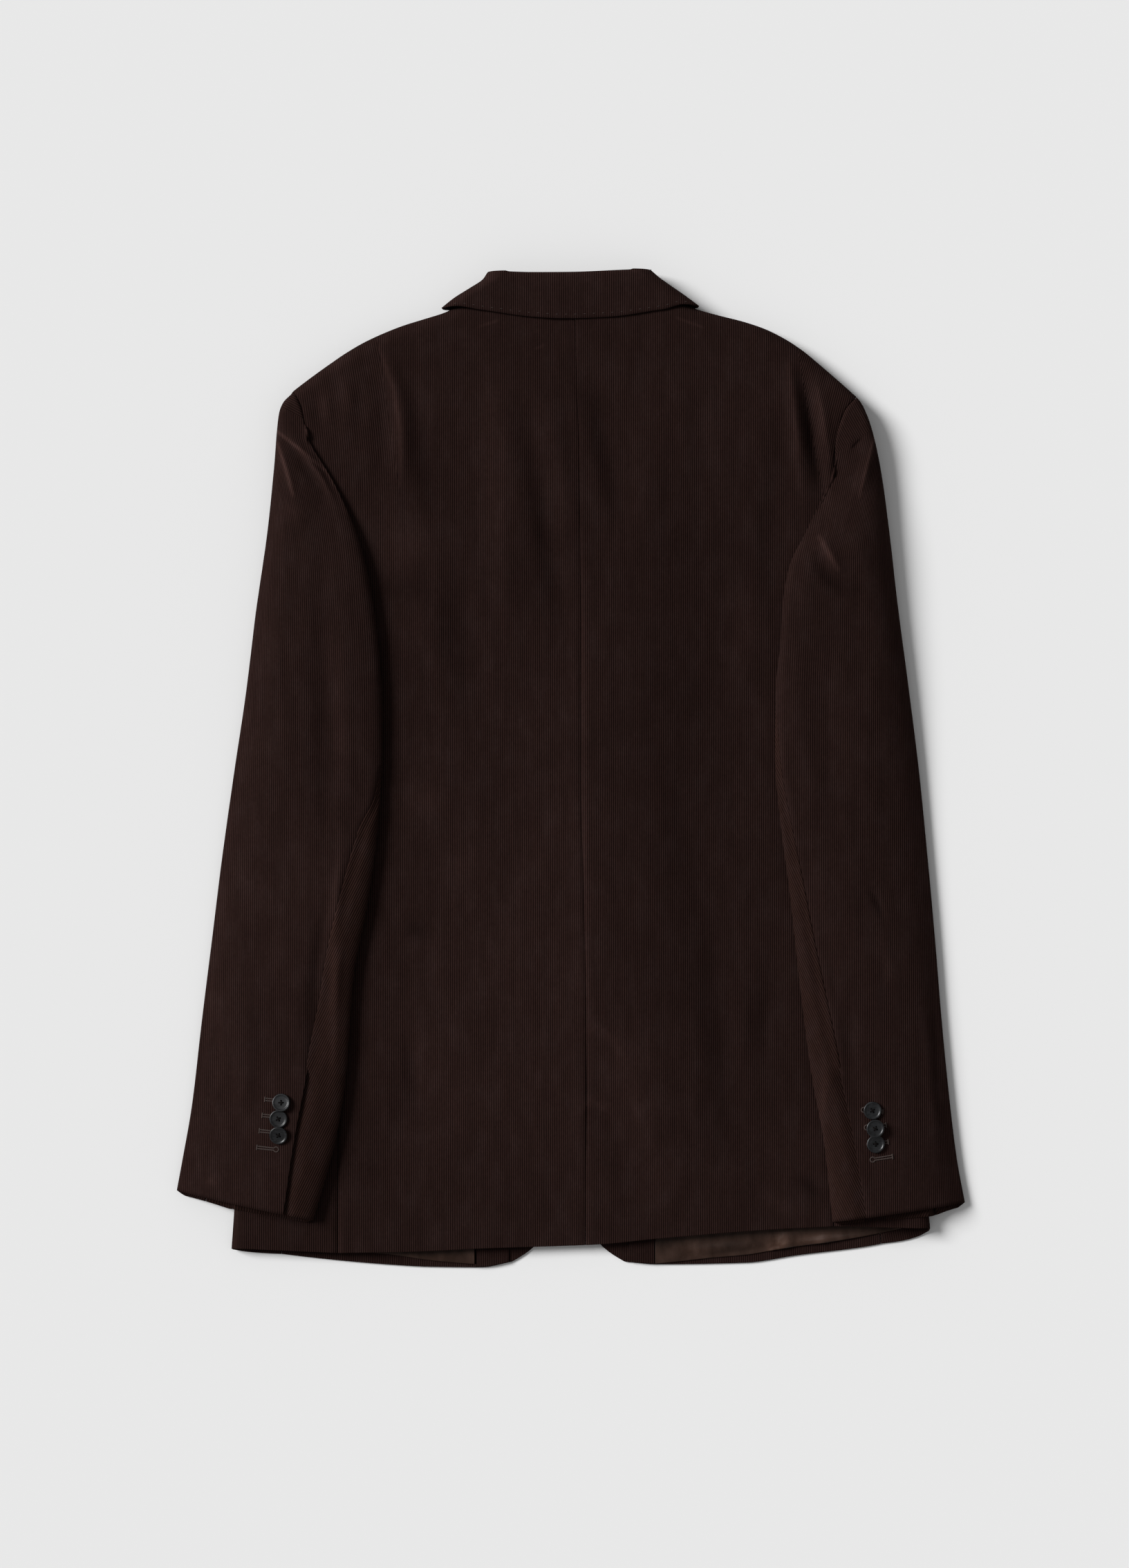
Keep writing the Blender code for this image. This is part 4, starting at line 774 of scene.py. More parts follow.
ARMHOLE_FRONT = {
    "left": ((-231, 315), (-229, 290), (-226, 250), (-224, 210), (-226, 175), (-231, UNDERARM_FRONT)),
    "right": ((238, 310), (236, 290), (234, 250), (233, 210), (235, 175), (241, UNDERARM_FRONT)),
}

# Measured from the centre front line: the quarter, the edge and the roll of the lapel
CENTRE_FRONT = -2.0
FRONT_EDGE = table(
    "y away", (-411, 47.0), (-404, 35.5), (-397, 27.0), (-383, 19.0), (-360, 11.5), (-320, 5.0), (-260, 2.2),
    (-75, 2.0), (60, 20.0), (250, 46.0), (345, 60.0), (372, 71.0), (391, 87.0),
)
TURNBACK = table(  # outer edge of the buttons, lapel and collar that lie under the fronts
    "y away", (-265, -24.0), (-205, 30.0), (-62, 34.0), (0, 54.0), (80, 82.0), (180, 104.0), (300, 121.0),
    (322, 123.0), (384, 112.0),
)
LAPEL_EDGE = table("y away", (-62, 9.0), (0, 47.0), (80, 77.0), (180, 99.0), (300, 116.0), (322, 118.0))
TURNBACK_RISE = 2.8
TURNBACK_SLOPE = 20.0
LAPEL_START = -62.0
GORGE_INNER = 343.0
GORGE_OUTER = 322.0
FRONT_HEM = {
    "left": ((-49, -411), (-74.5, -415.7), (-118, -415.2), (-153, -413.3), (-220, -407.1), (-241.5, -404.5)),
    "right": ((45, -411), (71, -413.2), (146, -411.9), (188, -405.8), (244, -398.8), (259.8, -396.0)),
}
FACING_SHARE = {"left": 0.17, "right": 0.12}  # of the front's width at the hem
LINING_END = (26, 7.5)  # how far out and up the narrow end of the right lining is pulled
LINING_RISE = {
    "left": table("share height", (0.17, 4.2), (0.36, 6.7), (0.56, 9.6), (0.95, 8.0)),
    "right": table("share height", (0.12, 1.2), (0.4, 7.0), (0.6, 8.0), (0.95, 7.0)),
}


def front_height(x, y):
    """Outer face of a front, which lapel, collar and buttons hold off the surface."""
    beyond = np.abs(x - CENTRE_FRONT) - read(TURNBACK, "away", y)
    return TURNBACK_RISE * (1 - ease(beyond / TURNBACK_SLOPE))


def front_edge_points(side, count):
    """The front's inner edge: round the quarter, up the centre front and along the roll."""
    y = np.r_[FRONT_EDGE["y"][0], -404, -395, np.linspace(-380, 391, count - 3)]
    return joined(CENTRE_FRONT + OUT[side] * read(FRONT_EDGE, "away", y), y)


def front_grid(side):
    """Outer face of one front, which lies down on the surface."""
    armhole = along(ARMHOLE_FRONT[side][::-1], UPPER_ROWS)
    outer = np.concatenate([side_rows(side, "front"), armhole])
    guide = front_edge_points(side, 24)
    rows = edge_shares(outer)
    inner = along(guide, rows)
    inner[0] = FRONT_HEM[side][0]
    inner[-1] = SHOULDER[side][0]
    columns = np.linspace(0, 1, 60)
    bottom = along(FRONT_HEM[side], columns)
    bottom[-1] = outer[0]
    top = along(SHOULDER[side], columns)
    flat = patch(bottom, top, inner, outer)
    x = flat[..., 0]
    y = flat[..., 1]
    away, _ = distance_to(SHOULDER[side], x, y)
    away[-1] = 0.0
    lost = turned(away, SHOULDER_ROUND)
    return with_z(flat, mix(front_height(x, y), 0.5 * back_height(x, y), lost))


def lapel_grid(side):
    """A lapel turned back under its front, from the roll out and from the first button up."""
    rows = np.linspace(0, 1, 13)
    inner_y = mix(LAPEL_START, GORGE_INNER, rows)
    outer_y = mix(LAPEL_START, GORGE_OUTER, rows)
    inner = read(FRONT_EDGE, "away", inner_y) + 0.5
    outer = read(LAPEL_EDGE, "away", outer_y)
    columns = np.linspace(0, 1, 5)[None, :]
    away = mix(inner[:, None], outer[:, None], columns)
    y = mix(inner_y[:, None], outer_y[:, None], columns)
    return joined(CENTRE_FRONT + OUT[side] * away, y, np.zeros_like(y))


FRONT_CLOTH = corduroy("corduroy_front")
FACING_CLOTH = corduroy("corduroy_facing", lightness=0.95)
SHOULDER_TUCK = 1.8  # the front's shoulder edge is drawn in under the back's


def make_front(side):
    grid = part_seams(front_grid(side), last_column=SEAM_GAP / 2, last_row=SEAM_GAP)
    grid = refine(grid, spacing=5.0)
    away, _ = distance_to(SHOULDER[side], grid[..., 0], grid[..., 1])
    grid[..., :2] += SHOULDER_TUCK * bell(away / 7)[..., None] * (-0.55 * OUT[side], -0.83)
    grid[..., 2] = np.maximum(grid[..., 2], 0.02)
    cloth_piece(
        "front_panel_" + side, "front_" + side, ["ground"], grid, (FRONT_CLOTH, LINING),
        up=False,
        turned_up=grid[..., 1] < HEM_TURN_TOP,
    )
    cloth_piece(
        "lapel_turned_" + side, "lapel_" + side, ["front_" + side],
        refine(lapel_grid(side), spacing=5.0), (FRONT_CLOTH,), wall=2.1, up=False,
    )


def inner_layer_grid(side, columns, rise):
    """Points on the front's inner face near the hem: columns across it, rising from its edge."""
    front = front_grid(side)[:12]
    across = edge_shares(front[0])
    y_rows = np.array([0.0, 0.12, 0.3, 0.6, 1.0])
    lines = []
    for share, start in zip(columns, rise):
        line = np.array([[np.interp(share, across, column) for column in row.T] for row in front])
        shares = edge_shares(line[:, :2])
        length = np.linalg.norm(np.diff(line[:, :2], axis=0), axis=1).sum()
        at = mix(start / length, 0.62, y_rows)
        lines.append(joined(*(np.interp(at, shares, line[:, axis]) for axis in range(3))))
    return np.array(lines).transpose(1, 0, 2)


STAR = (171.6, -396.6)  # where the right lining is puckered
STAR_RAYS = ((9, 0.0), (8, 0.9), (10, 2.2), (8, 3.3), (9, 4.1), (8, 5.3))
LINING_FOLDS = {
    "left": ((0.7, 3, ((-150, -400), (-120, -408))), (-0.5, 3, ((-140, -396), (-110, -404)))),
    "right": (
        (1.5, 3.5, ((84, -402), (130, -399), (168, -396))),
        (-1.2, 2.5, ((104, -408), (150, -403), (172, -396))),
        (1.6, 3.5, ((174, -396), (206, -393), (246, -387))),
        (-1.2, 3, ((176, -391), (215, -388), (262, -382))), (0.9, 4, ((186, -402), (214, -398), (268, -388))),
        (2.2, 6.5, ((173, -408), (179, -396), (185, -382))),
        (1.0, 5, ((206, -402), (211, -392), (216, -382))), (-0.8, 4, ((158, -405), (162, -396), (165, -388))),
        (-0.9, 3, ((74, -396), (92, -402), (100, -409))),
    ),
}

LINING_PAINTED_SHADING = {  # painted highlights where the satin catches the light and painted shade where it turns away, in the same form as the back's painted shading
    "left": ((0.25, 4, ((-128, -412), (-112, -409), (-100, -406))),),
    "right": (
        (1.0, 7, ((160, -403), (173, -397), (186, -394))), (0.6, 5, ((182, -396), (200, -392), (222, -389))),
        (-0.3, 5, ((118, -398), (136, -399), (152, -397))), (0.3, 5, ((84, -402), (100, -403), (120, -405))),
        (-0.35, 5, ((60, -396), (74, -396), (92, -397))),
    ),
}


def make_inner_layers(side):
    """Facing and lining on the inner face of a front, where the hem leaves them in sight."""
    edge = FACING_SHARE[side]
    lift = WALL + LAYER_GAP + 1.0
    facing = inner_layer_grid(side, np.linspace(0.02, edge, 6), rise=np.full(6, 1.2))
    facing[..., 0] = facing[:1, :, 0]
    facing = refine(facing, spacing=2.5)
    facing[..., 2] += lift
    cloth_piece(
        "front_facing_" + side, "facing_" + side, ["front_" + side], facing, (FACING_CLOTH,), wall=1.0
    )
    columns = np.linspace(edge + 0.004, 0.96, 14)
    lining = inner_layer_grid(side, columns, read(LINING_RISE[side], "height", columns))
    lining[..., 0] = lining[:1, :, 0]
    if side == "right":
        stretch = (np.clip(columns - 0.7, 0, None) / 0.26) ** 2
        lining[..., :2] += stretch[:, None] * LINING_END
    lining = refine(lining, spacing=1.8)
    x, y = lining[..., 0], lining[..., 1]
    lining[..., 2] += lift + 0.9 * folds_at(LINING_FOLDS[side], x, y)
    if side == "right":
        away = np.hypot(x - STAR[0], y - STAR[1])
        angle = np.arctan2(y - STAR[1], x - STAR[0])
        ray = sum(bell(np.sin((angle - turn) / 2) * reach) for reach, turn in STAR_RAYS)
        lining[..., 2] += 1.1 * ray * bell(away / 9) - 0.8 * bell(away / 2.2)
    lining[..., 2] = np.maximum(lining[..., 2], lift - 0.2)
    cloth_piece(
        "front_lining_" + side, "lining_" + side, ["front_" + side], lining, (LINING,),
        wall=0.8,
        # painted highlights and shade along the lining's wrinkles
        nap_and_painted_shading=folds_at(LINING_PAINTED_SHADING[side], x, y),
    )


for side in OUT:
    make_front(side)
    make_inner_layers(side)


# ==== The sleeves ====
# Two-piece sleeves, flattened and turned over the back. The topsleeve wraps the outer edge; the undersleeve
# carries on past the hindarm seam, with its wales cut askew, and opens from the topsleeve at the cuff vent.

# Outer and folded inner edges of the sleeves from above
SLEEVE_EDGE = table(
    "y left right", (-361, -330.5, 328.8), (-326, -324.0, 322.3), (-280, -316.0, 316.5),
    (-211, -307.9, 309.6), (-142, -299.3, 303.9), (-73, -290.7, 297.6), (-4, -280.9, 290.7),
    (65, -270.5, 282.0), (134, -261.9, 272.8), (203, -252.1, 264.8), (249, -247.5, 258.5),
    (286, -244.7, 249.8), (300, -242.4, 244.7), (306.5, -239.5, 241.8), (316, -231.0, 232.0),
)
SLEEVE_FOLD = table(
    "y left right", (-376, -214.4, 217.2), (-348, -206.0, 214.6), (-308, -195.2, 210.0),
    (-255, -186.6, 200.1), (-178, -180.8, 190.0), (-100, -166.8, 181.4), (-50, -160.4, 174.7),
    (14, -156.5, 169.3), (65, -156.9, 169.9), (105, -159.6, 173.8), (141, -164.6, 176.1),
    (169, -169.7, 181.4), (197, -177.8, 195.0), (221, -188.0, 206.1), (250, -203.6, 219.0),
    (275, -220.2, 230.0),
)
# How far the hindarm seam stands in from the folded edge; below zero it has passed under the fold
HINDARM = table(
    "y left right", (-376, 24.5, 28.0), (-302, 33.0, 23.8), (-252, 31.5, 23.0), (-183, 24.0, 18.0),
    (-128, 22.5, 13.0), (-54, 14.0, 8.0), (-28, 4.5, 6.0), (0, 0.5, 4.0), (50, -4.0, 0.5), (100, -8.0, -4.0),
    (150, -9.0, -8.0), (194, -7.0, -5.0), (232, -3.5, -1.0), (244, -2.0, 0.0), (265, 0.0, 0.0),
)
SLEEVE_THICK = 12.0
SLEEVE_CLEAR = 1.1  # between the back and the sleeve that lies on it
SLEEVE_EDGE_MID = table("y height", (-361, 5.0), (-50, 6.0), (90, 8.5), (200, 9.5), (316, 10.7))

SLEEVE_FOLDS = {
    "left": (
        (2.6, 3.6, ((-245, 284), (-225, 265), (-210, 247), (-195, 225), (-184, 204))),
        (1.8, 9, ((-246, 286), (-228, 268), (-213, 250), (-198, 228), (-186, 200))),
        (2.2, 3.2, ((-245, 270), (-239, 256), (-233, 240), (-229, 224))),
        (-2.4, 4.2, ((-242, 276), (-226, 258), (-213, 240), (-204, 222))),
        (-1.5, 5, ((-246, 258), (-238, 240), (-232, 222))), (1.6, 9, ((-240, 222), (-226, 212), (-214, 206))),
        (-1.8, 9, ((-200, 205), (-208, 160), (-207, 80), (-203, 0), (-206, -90))),
        (1.5, 7, ((-190, 130), (-188, 60), (-187, 0), (-191, -70))),
        (1.4, 14, ((-250, 120), (-238, 40), (-246, -60))),
        (2.4, 4.5, ((-189, -50), (-194, -100), (-195, -150), (-194, -210), (-196, -290))),
        (-2.0, 6, ((-202, -110), (-210, -160), (-214, -210), (-217, -260))),
        (1.5, 4, ((-310, -256), (-300, -272), (-290, -290), (-284, -300))),
        (-1.2, 4, ((-306, -270), (-296, -288), (-286, -304))),
        (1.2, 4, ((-300, -292), (-284, -300), (-276, -316))),
        (1.0, 5, ((-290, -210), (-286, -240), (-290, -270))),
        (-1.0, 6, ((-262, -200), (-260, -250), (-264, -290))),
    ),
    "right": (
        (2.2, 3.4, ((252, 279), (248, 262), (243, 243), (237, 224))),
        (-2.2, 5, ((256, 268), (252, 248), (248, 226))), (-2.6, 2.6, ((232, 265), (237, 271), (243, 276))),
        (1.2, 3, ((228, 266), (234, 275), (241, 281))),
        (1.4, 6, ((232, 262), (220, 246), (212, 232), (204, 212))),
        (3.0, 4.5, ((204, 196), (211, 184), (218, 171), (225, 160))),
        (-2.6, 6, ((200, 182), (208, 168), (218, 155), (236, 148))),
        (1.2, 10, ((236, 205), (240, 180), (238, 160))), (1.3, 14, ((252, 100), (246, 20), (256, -70))),
        (-1.3, 12, ((214, 140), (210, 60), (214, -20), (226, -120))),
        (-1.8, 4, ((300, -180), (302, -222), (304, -262), (310, -320))),
        (1.4, 4.5, ((293, -170), (296, -222), (298, -262), (304, -320))),
        (-1.6, 2.6, ((248, -98), (254, -111), (262, -127))),
        (1.2, 5, ((258, -130), (266, -160), (272, -190))),
        (1.8, 4, ((213, -238), (210, -270), (206, -300), (208, -330))),
        (-1.2, 7, ((232, -180), (230, -240), (234, -300))),
        (1.0, 5, ((176, 20), (182, -40), (190, -110), (202, -190))),
    ),
}
# Painted light and shade on the sleeves: lighter along fold ridges and edges turned to the light, darker in
# troughs
SLEEVE_PAINTED_SHADING = {
    "left": (
        (0.55, 2.2, ((-245, 284), (-225, 265), (-210, 247), (-195, 225), (-184, 204))),
        (0.45, 2.2, ((-245, 270), (-239, 256), (-233, 240), (-229, 224))),
        (-0.22, 3.5, ((-242, 276), (-226, 258), (-213, 240), (-204, 222))),
        (0.25, 8, ((-240, 220), (-226, 212), (-216, 206))),
        (-0.18, 9, ((-200, 205), (-208, 160), (-207, 80), (-203, 0), (-206, -90))),
        (0.16, 8, ((-190, 130), (-188, 60), (-187, 0), (-191, -70))),
        (0.55, 4, ((-190, -55), (-194, -100), (-195, -150), (-194, -210), (-196, -290))),
        (-0.25, 5, ((-204, -110), (-211, -160), (-215, -210), (-219, -260))),
        (0.12, 12, ((-285, 0), (-296, -120), (-304, -240))),
        (-0.15, 10, ((-262, -180), (-260, -250), (-264, -300))),
        (0.5, 3, ((-306, -344), (-299, -342), (-292, -341))),
    ),
    "right": (
        (0.4, 2.2, ((252, 279), (248, 262), (243, 243), (237, 224))),
        (-0.45, 6, ((254, 270), (252, 250), (250, 224))), (0.16, 9, ((226, 250), (214, 230), (204, 206))),
        (0.4, 5, ((206, 194), (211, 184), (218, 171), (223, 162))),
        (-0.28, 7, ((202, 178), (210, 163), (224, 150), (250, 148))),
        (0.2, 3, ((171, 45), (172, 20), (176, -20))), (-0.35, 2.5, ((301, -190), (304, -262), (310, -318))),
        (0.3, 3.5, ((295, -175), (298, -250), (304, -315))),
        (-0.3, 2, ((249, -100), (254, -111), (261, -125))), (0.22, 10, ((266, -150), (272, -180))),
        (0.3, 3.5, ((213, -238), (210, -270), (206, -300), (208, -330))),
        (-0.15, 9, ((232, -180), (230, -240), (234, -300))),
    ),
}

FOLD_START = {"left": (-219, 276), "right": (219, 244)}  # where a sleeve's fold runs out at the armhole
CUFF_OUTER = {"left": -351.0, "right": -361.0}
CUFF_FOLD = {"left": -374.3, "right": -375.6}

SLEEVE_ROWS = np.r_[np.linspace(0, 0.01, 3), np.linspace(0.015, 0.76, 118), np.linspace(0.764, 1, 84)]
UNDERARM_TRAVEL = table("share travel", (0, 0), (0.5, 0.66), (0.7, 0.86), (0.85, 0.95), (1, 1))
RING_POINTS = 480
REACH = 180  # of them, past the fold, among which the hindarm seam is looked for
HEAD_BOW = ((0.83, 0.94, 1.0), (1.0, 1.8, 1.8))  # rows near the armhole drop first, then run to the fold
HEAD_SHARE = 0.2  # the sleeve sinks to the armhole over this share of its length
FOLD_STANDS = ((0.9, 0.94, 0.965, 0.985, 1.0), (0.0, 0.8, 1.0, 0.4, 0.0))  # where the fold starts, by share
UNDERARM_FAN = ((0.83, 0.875, 0.91, 0.94, 0.965, 0.985, 1.0), (1.0, 0.85, 0.68, 0.5, 0.32, 0.16, 0.0))
UNDERSLEEVE_TOP = 0.83  # above this the topsleeve alone is made, and it reaches further under the arm
HEAD_DRAW = ((0.94, 0.965, 0.985, 1.0), (0.0, 0.08, 0.3, 1.0))  # and is drawn onto the seam over less


def closed_curve(keys, count):
    """A smooth closed line through the key points, with the share of each key point along it."""
    ring = np.concatenate([keys[-3:], keys, keys[:4]])
    chord = np.linalg.norm(np.diff(ring, axis=0), axis=1) ** 0.5
    knots = np.r_[0, np.cumsum(chord)]
    first = 3
    last = first + len(keys)
    tangent = np.zeros_like(ring)
    for i in range(1, len(ring) - 1):
        before = knots[i] - knots[i - 1]
        after = knots[i + 1] - knots[i]
        rise_before = (ring[i] - ring[i - 1]) / before
        rise_after = (ring[i + 1] - ring[i]) / after
        tangent[i] = (rise_before * after + rise_after * before) / (before + after)
    at = np.linspace(knots[first], knots[last], count, endpoint=False)
    k = np.clip(np.searchsorted(knots, at, side="right") - 1, first, last - 1)
    step = (knots[k + 1] - knots[k])[:, None]
    t = (at[:, None] - knots[k][:, None]) / step
    curve = ring[k] * (1 + 2 * t) * (1 - t) ** 2 + ring[k + 1] * t * t * (3 - 2 * t)
    curve = curve + step * (tangent[k] * t * (1 - t) ** 2 - tangent[k + 1] * t * t * (1 - t))
    shares = (knots[first:last] - knots[first]) / (knots[last] - knots[first])
    return curve, shares


def armhole_inside(side, y):
    """How far in the sleeve's underside may reach: the body's side edge, then the front's armhole."""
    out = OUT[side]
    edge = read(BODY, side + "_edge", y) + out * 2.0
    line = np.array(ARMHOLE_FRONT[side], float)[::-1]
    front = np.interp(y, line[:, 1], line[:, 0]) + out
    return mix(edge, front, np.clip((y - ARMPIT + 3) / (UNDERARM_FRONT - ARMPIT + 3), 0, 1))


def sleeve_section(side, share):
    """Key points of the flattened sleeve at one share of its length, from its outer edge over the top."""
    out = OUT[side]
    travel = read(UNDERARM_TRAVEL, "travel", share)
    y_edge = mix(CUFF_OUTER[side], SHOULDER[side][-1][1], share)
    y_fold = mix(CUFF_FOLD[side], FOLD_START[side][1], share)
    y_under = mix(0.5 * (CUFF_OUTER[side] + CUFF_FOLD[side]), ARMPIT, travel)
    x_edge = read(SLEEVE_EDGE, side, y_edge)
    x_fold = read(SLEEVE_FOLD, side, y_fold)
    x_body = read(BODY, side + "_edge", y_under)
    mid = read(SLEEVE_EDGE_MID, "height", y_edge)
    base_fold = back_height(x_fold, y_fold, folded=False) + SLEEVE_CLEAR
    base_body = back_height(x_body, y_under, folded=False)
    top_fold = base_fold + SLEEVE_THICK

    # 1 where little of the sleeve lies outside the body
    beside = np.clip((0.3 - (x_body - x_edge) / (x_fold - x_edge)) / 0.17, 0, 1)

    def over(across, height):
        down = 1 - (1 - across) ** fair(*HEAD_BOW, share)
        return (mix(x_edge, x_fold, across), mix(y_edge, y_fold, down), height)

    def below(across, height):
        return (mix(x_fold, x_body, across), mix(y_fold, y_under, across), height)

    def beneath(across, height):
        y = mix(y_under, y_edge, across)
        outer = read(SLEEVE_EDGE, side, y)
        reach = mix(across**6, across**1.1, fair(*UNDERARM_FAN, share))
        return (mix(armhole_inside(side, y), outer, reach), y, height)

    return np.array(
        (
            over(0.0, mid),
            over(0.045, mid * 1.75),
            over(0.16, mix(2 * mid, top_fold, mix(0.3, 0.62, beside))),
            over(0.36, mix(2 * mid, top_fold, mix(0.72, 0.95, beside))),
            over(0.64, top_fold + 1.0),
            over(0.87, top_fold + 0.4),
            over(0.965, top_fold - 2.2),
            over(1.0, base_fold + 0.5 * SLEEVE_THICK),
            over(0.965, base_fold + 1.4),
            below(0.16, base_fold + 0.1),
            below(0.5, mix(base_fold, base_body + SLEEVE_CLEAR, 0.5)),
            below(0.86, base_body + SLEEVE_CLEAR + 0.3),
            below(0.99, base_body + SLEEVE_CLEAR - 0.2),
            (x_body + out * 3.2, y_under, 0.66 * base_body),
            beneath(0.5, mix(0.3 * base_body, 0.3, ease((share - 0.75) / 0.2))),
            beneath(0.86, 0.6),
        )
    )


# Places of some key points in a section
EDGE_KEY = 0
NEAR_EDGE_KEY = 2
TOP_START_KEY = 3
TOP_END_KEY = 6
FOLD_KEY = 7
CORNER_KEY = 12
BODY_KEY = 13
FOREARM_KEY = 14


def armhole_ring(side, shares):
    """The armhole seam as the sleeve meets it, at the same shares of the ring as the sections' keys."""
    out = OUT[side]
    back = np.asarray(ARMHOLE_BACK[side], float)
    fold = np.asarray(FOLD_START[side], float)
    seen = [p for p in back if p[1] > fold[1] + 1]
    hidden = [p for p in back if p[1] < fold[1] - 1]
    edge = read(BODY, side + "_edge", ARMPIT)
    keys = np.array([shares[EDGE_KEY], shares[FOLD_KEY], shares[BODY_KEY], 1.0])
    ring = np.linspace(0, 1, RING_POINTS, endpoint=False)
    upper = along([*seen, fold], (ring - keys[0]) / (keys[1] - keys[0]))
    side_top = (mix(back[-1][0], edge, 0.6), mix(SEAM_TOP, ARMPIT, 0.65))
    armpit = (edge + out * 2.5, ARMPIT)
    lower = along([fold, *hidden, side_top, armpit], (ring - keys[1]) / (keys[2] - keys[1]))
    front = np.asarray(ARMHOLE_FRONT[side], float)[::-1]
    bottom = along([armpit, *front], (ring - keys[2]) / (keys[3] - keys[2]))
    on_lower = (ring > keys[1]) & (ring <= keys[2])
    on_bottom = ring > keys[2]
    flat = np.where(on_lower[:, None], lower, np.where(on_bottom[:, None], bottom, upper))
    x = flat[:, 0]
    y = flat[:, 1]
    top = back_height(x, y)
    lost = turned(distance_to(SHOULDER[side], x, y)[0], SHOULDER_ROUND)
    raised = LAYER_GAP + 0.3
    from_edge = np.abs(x - edge) / SIDE_ROUND
    z_lower = mix(0.5 * top, top + raised, ease(from_edge))
    z_bottom = 0.5 * top * np.maximum(lost, (1 - ease(from_edge)) * (y < ARMPIT + 20))
    z_upper = top * (1 - 0.5 * lost) + raised * ease(1 + (ring - keys[1]) / 0.02)
    z = np.where(on_lower, z_lower, np.where(on_bottom, z_bottom, z_upper))
    flat[:, 0] += out * np.where(on_lower, 0, np.where(on_bottom, 1.0, 0.1))
    flat[:, 1] += np.where(on_bottom & (y < ARMPIT + 30), 2 * SEAM_GAP, 0)
    return with_z(flat, z)


def clear_of_body(side, rings, keys):
    """Holds the sleeve off the side panel and the back on which it is laid."""
    out = OUT[side]
    x, y, z = np.moveaxis(rings, -1, 0)
    ring_share = np.arange(RING_POINTS) / RING_POINTS
    lower = (ring_share > keys[:, FOLD_KEY, None]) & (ring_share <= keys[:, BODY_KEY, None])
    bottom = ring_share > keys[:, BODY_KEY, None]
    edge = read(BODY, side + "_edge", y)
    beyond = out * (x - edge)
    least = np.interp(y, (ARMPIT + 2, UNDERARM_FRONT + 2, UNDERARM_FRONT + 4), (1.6, -19.5, -60))
    x = np.where(bottom, edge + out * np.maximum(beyond, least), x)
    turn = np.clip((beyond + SIDE_ROUND) / (SIDE_ROUND + 0.9), 0, 1)
    profile = 0.5 * back_height(x, y) * (1 + np.sqrt(1 - turn**2)) + 0.7
    panel_top = np.interp(beyond, (-30, -SIDE_ROUND, -1.7), (SEAM_TOP, ARMPIT + 4, ARMPIT - 4))
    hold = ease((panel_top + 6 - y) / 4.5) * (beyond < 0.9)
    z = np.where(lower, np.maximum(z, mix(z, profile, hold)), z)
    upper = ring_share <= keys[:, FOLD_KEY, None]
    line = np.array(ARMHOLE_BACK[side], float)[::-1]
    over_back = 1.5 - out * (x - np.interp(y, line[:, 1], line[:, 0]))
    lifted = ease(over_back / 1.5) * ease((FOLD_START[side][1] + 12 - y) / 8)
    least_z = back_height(x, y) + WALL + 0.8
    z = np.where(upper, np.maximum(z, mix(z, least_z, lifted)), z)
    return joined(x, y, z)


def sleeve_surface(side):
    """Rings of points from cuff to armhole, and the shares of their key points."""
    rings = []
    keys = []
    for share in SLEEVE_ROWS:
        ring, key_shares = closed_curve(sleeve_section(side, share), RING_POINTS)
        rings.append(ring)
        keys.append(key_shares)
    seam = armhole_ring(side, keys[-1])
    miss = seam - rings[-1]
    ring_share = np.arange(RING_POINTS) / RING_POINTS
    place = [np.interp(ring_share, np.r_[row, 1.0], np.arange(len(row) + 1)) for row in keys]
    for row, share in enumerate(SLEEVE_ROWS):
        sunk = ease((share - 1 + HEAD_SHARE) / HEAD_SHARE) ** 1.4
        drawn = fair(*HEAD_DRAW, share)
        here = joined(*(np.interp(place[row], place[-1], miss[:, axis]) for axis in range(3)))
        rings[row] = rings[row] + here * (drawn, drawn, sunk)
    keys = np.array(keys)
    rings = clear_of_body(side, np.array(rings), keys)
    rings[..., 2] = np.maximum(rings[..., 2], 0.05)
    share = SLEEVE_ROWS[:, None]
    to_end = keys[:, [TOP_END_KEY]] - ring_share
    on_top = ease(np.minimum(ring_share / keys[:, [TOP_START_KEY]], to_end / 0.05))
    fade = ease((1 - share) / 0.03)
    x, y = rings[..., 0].copy(), rings[..., 1].copy()
    rings[..., 2] += on_top * fade * folds_at(SLEEVE_FOLDS[side], x, y)
    swell = 0.4 * undulation(x, y, size=90, seed=OUT[side]) + 0.15 * undulation(x, y, size=31, seed=4)
    rings[..., 2] += on_top * fade * swell
    near_fold = bell((ring_share - keys[:, [FOLD_KEY]]) / 0.03)
    rings[..., 2] += near_fold * fair(*FOLD_STANDS, SLEEVE_ROWS)[:, None]
    beneath = ease((ring_share - keys[:, [FOLD_KEY]]) / 0.06) * ease((1 - ring_share) / 0.05)
    rings[..., 1] -= CUFF_DROP * beneath * bell(share / 0.02)
    return rings, keys


def hindarm_shares(side, rings, keys):
    """Share of the ring where the hindarm seam runs, row by row."""
    shares = []
    for ring, key_shares in zip(rings, keys):
        fold = int(round(key_shares[FOLD_KEY] * RING_POINTS))
        inset = read(HINDARM, side, ring[fold, 1])
        if inset > 0:
            first = int(round(key_shares[NEAR_EDGE_KEY] * RING_POINTS))
            span = np.arange(first, fold + 1)
            away = np.abs(ring[span, 0] - ring[fold, 0])
            at = np.interp(inset, away[::-1], span[::-1].astype(float))
        else:
            steps = np.linalg.norm(np.diff(ring[fold : fold + REACH], axis=0), axis=1)
            at = fold + np.interp(-inset, np.r_[0, np.cumsum(steps)], np.arange(float(REACH)))
        shares.append(at / RING_POINTS)
    return np.array(shares)


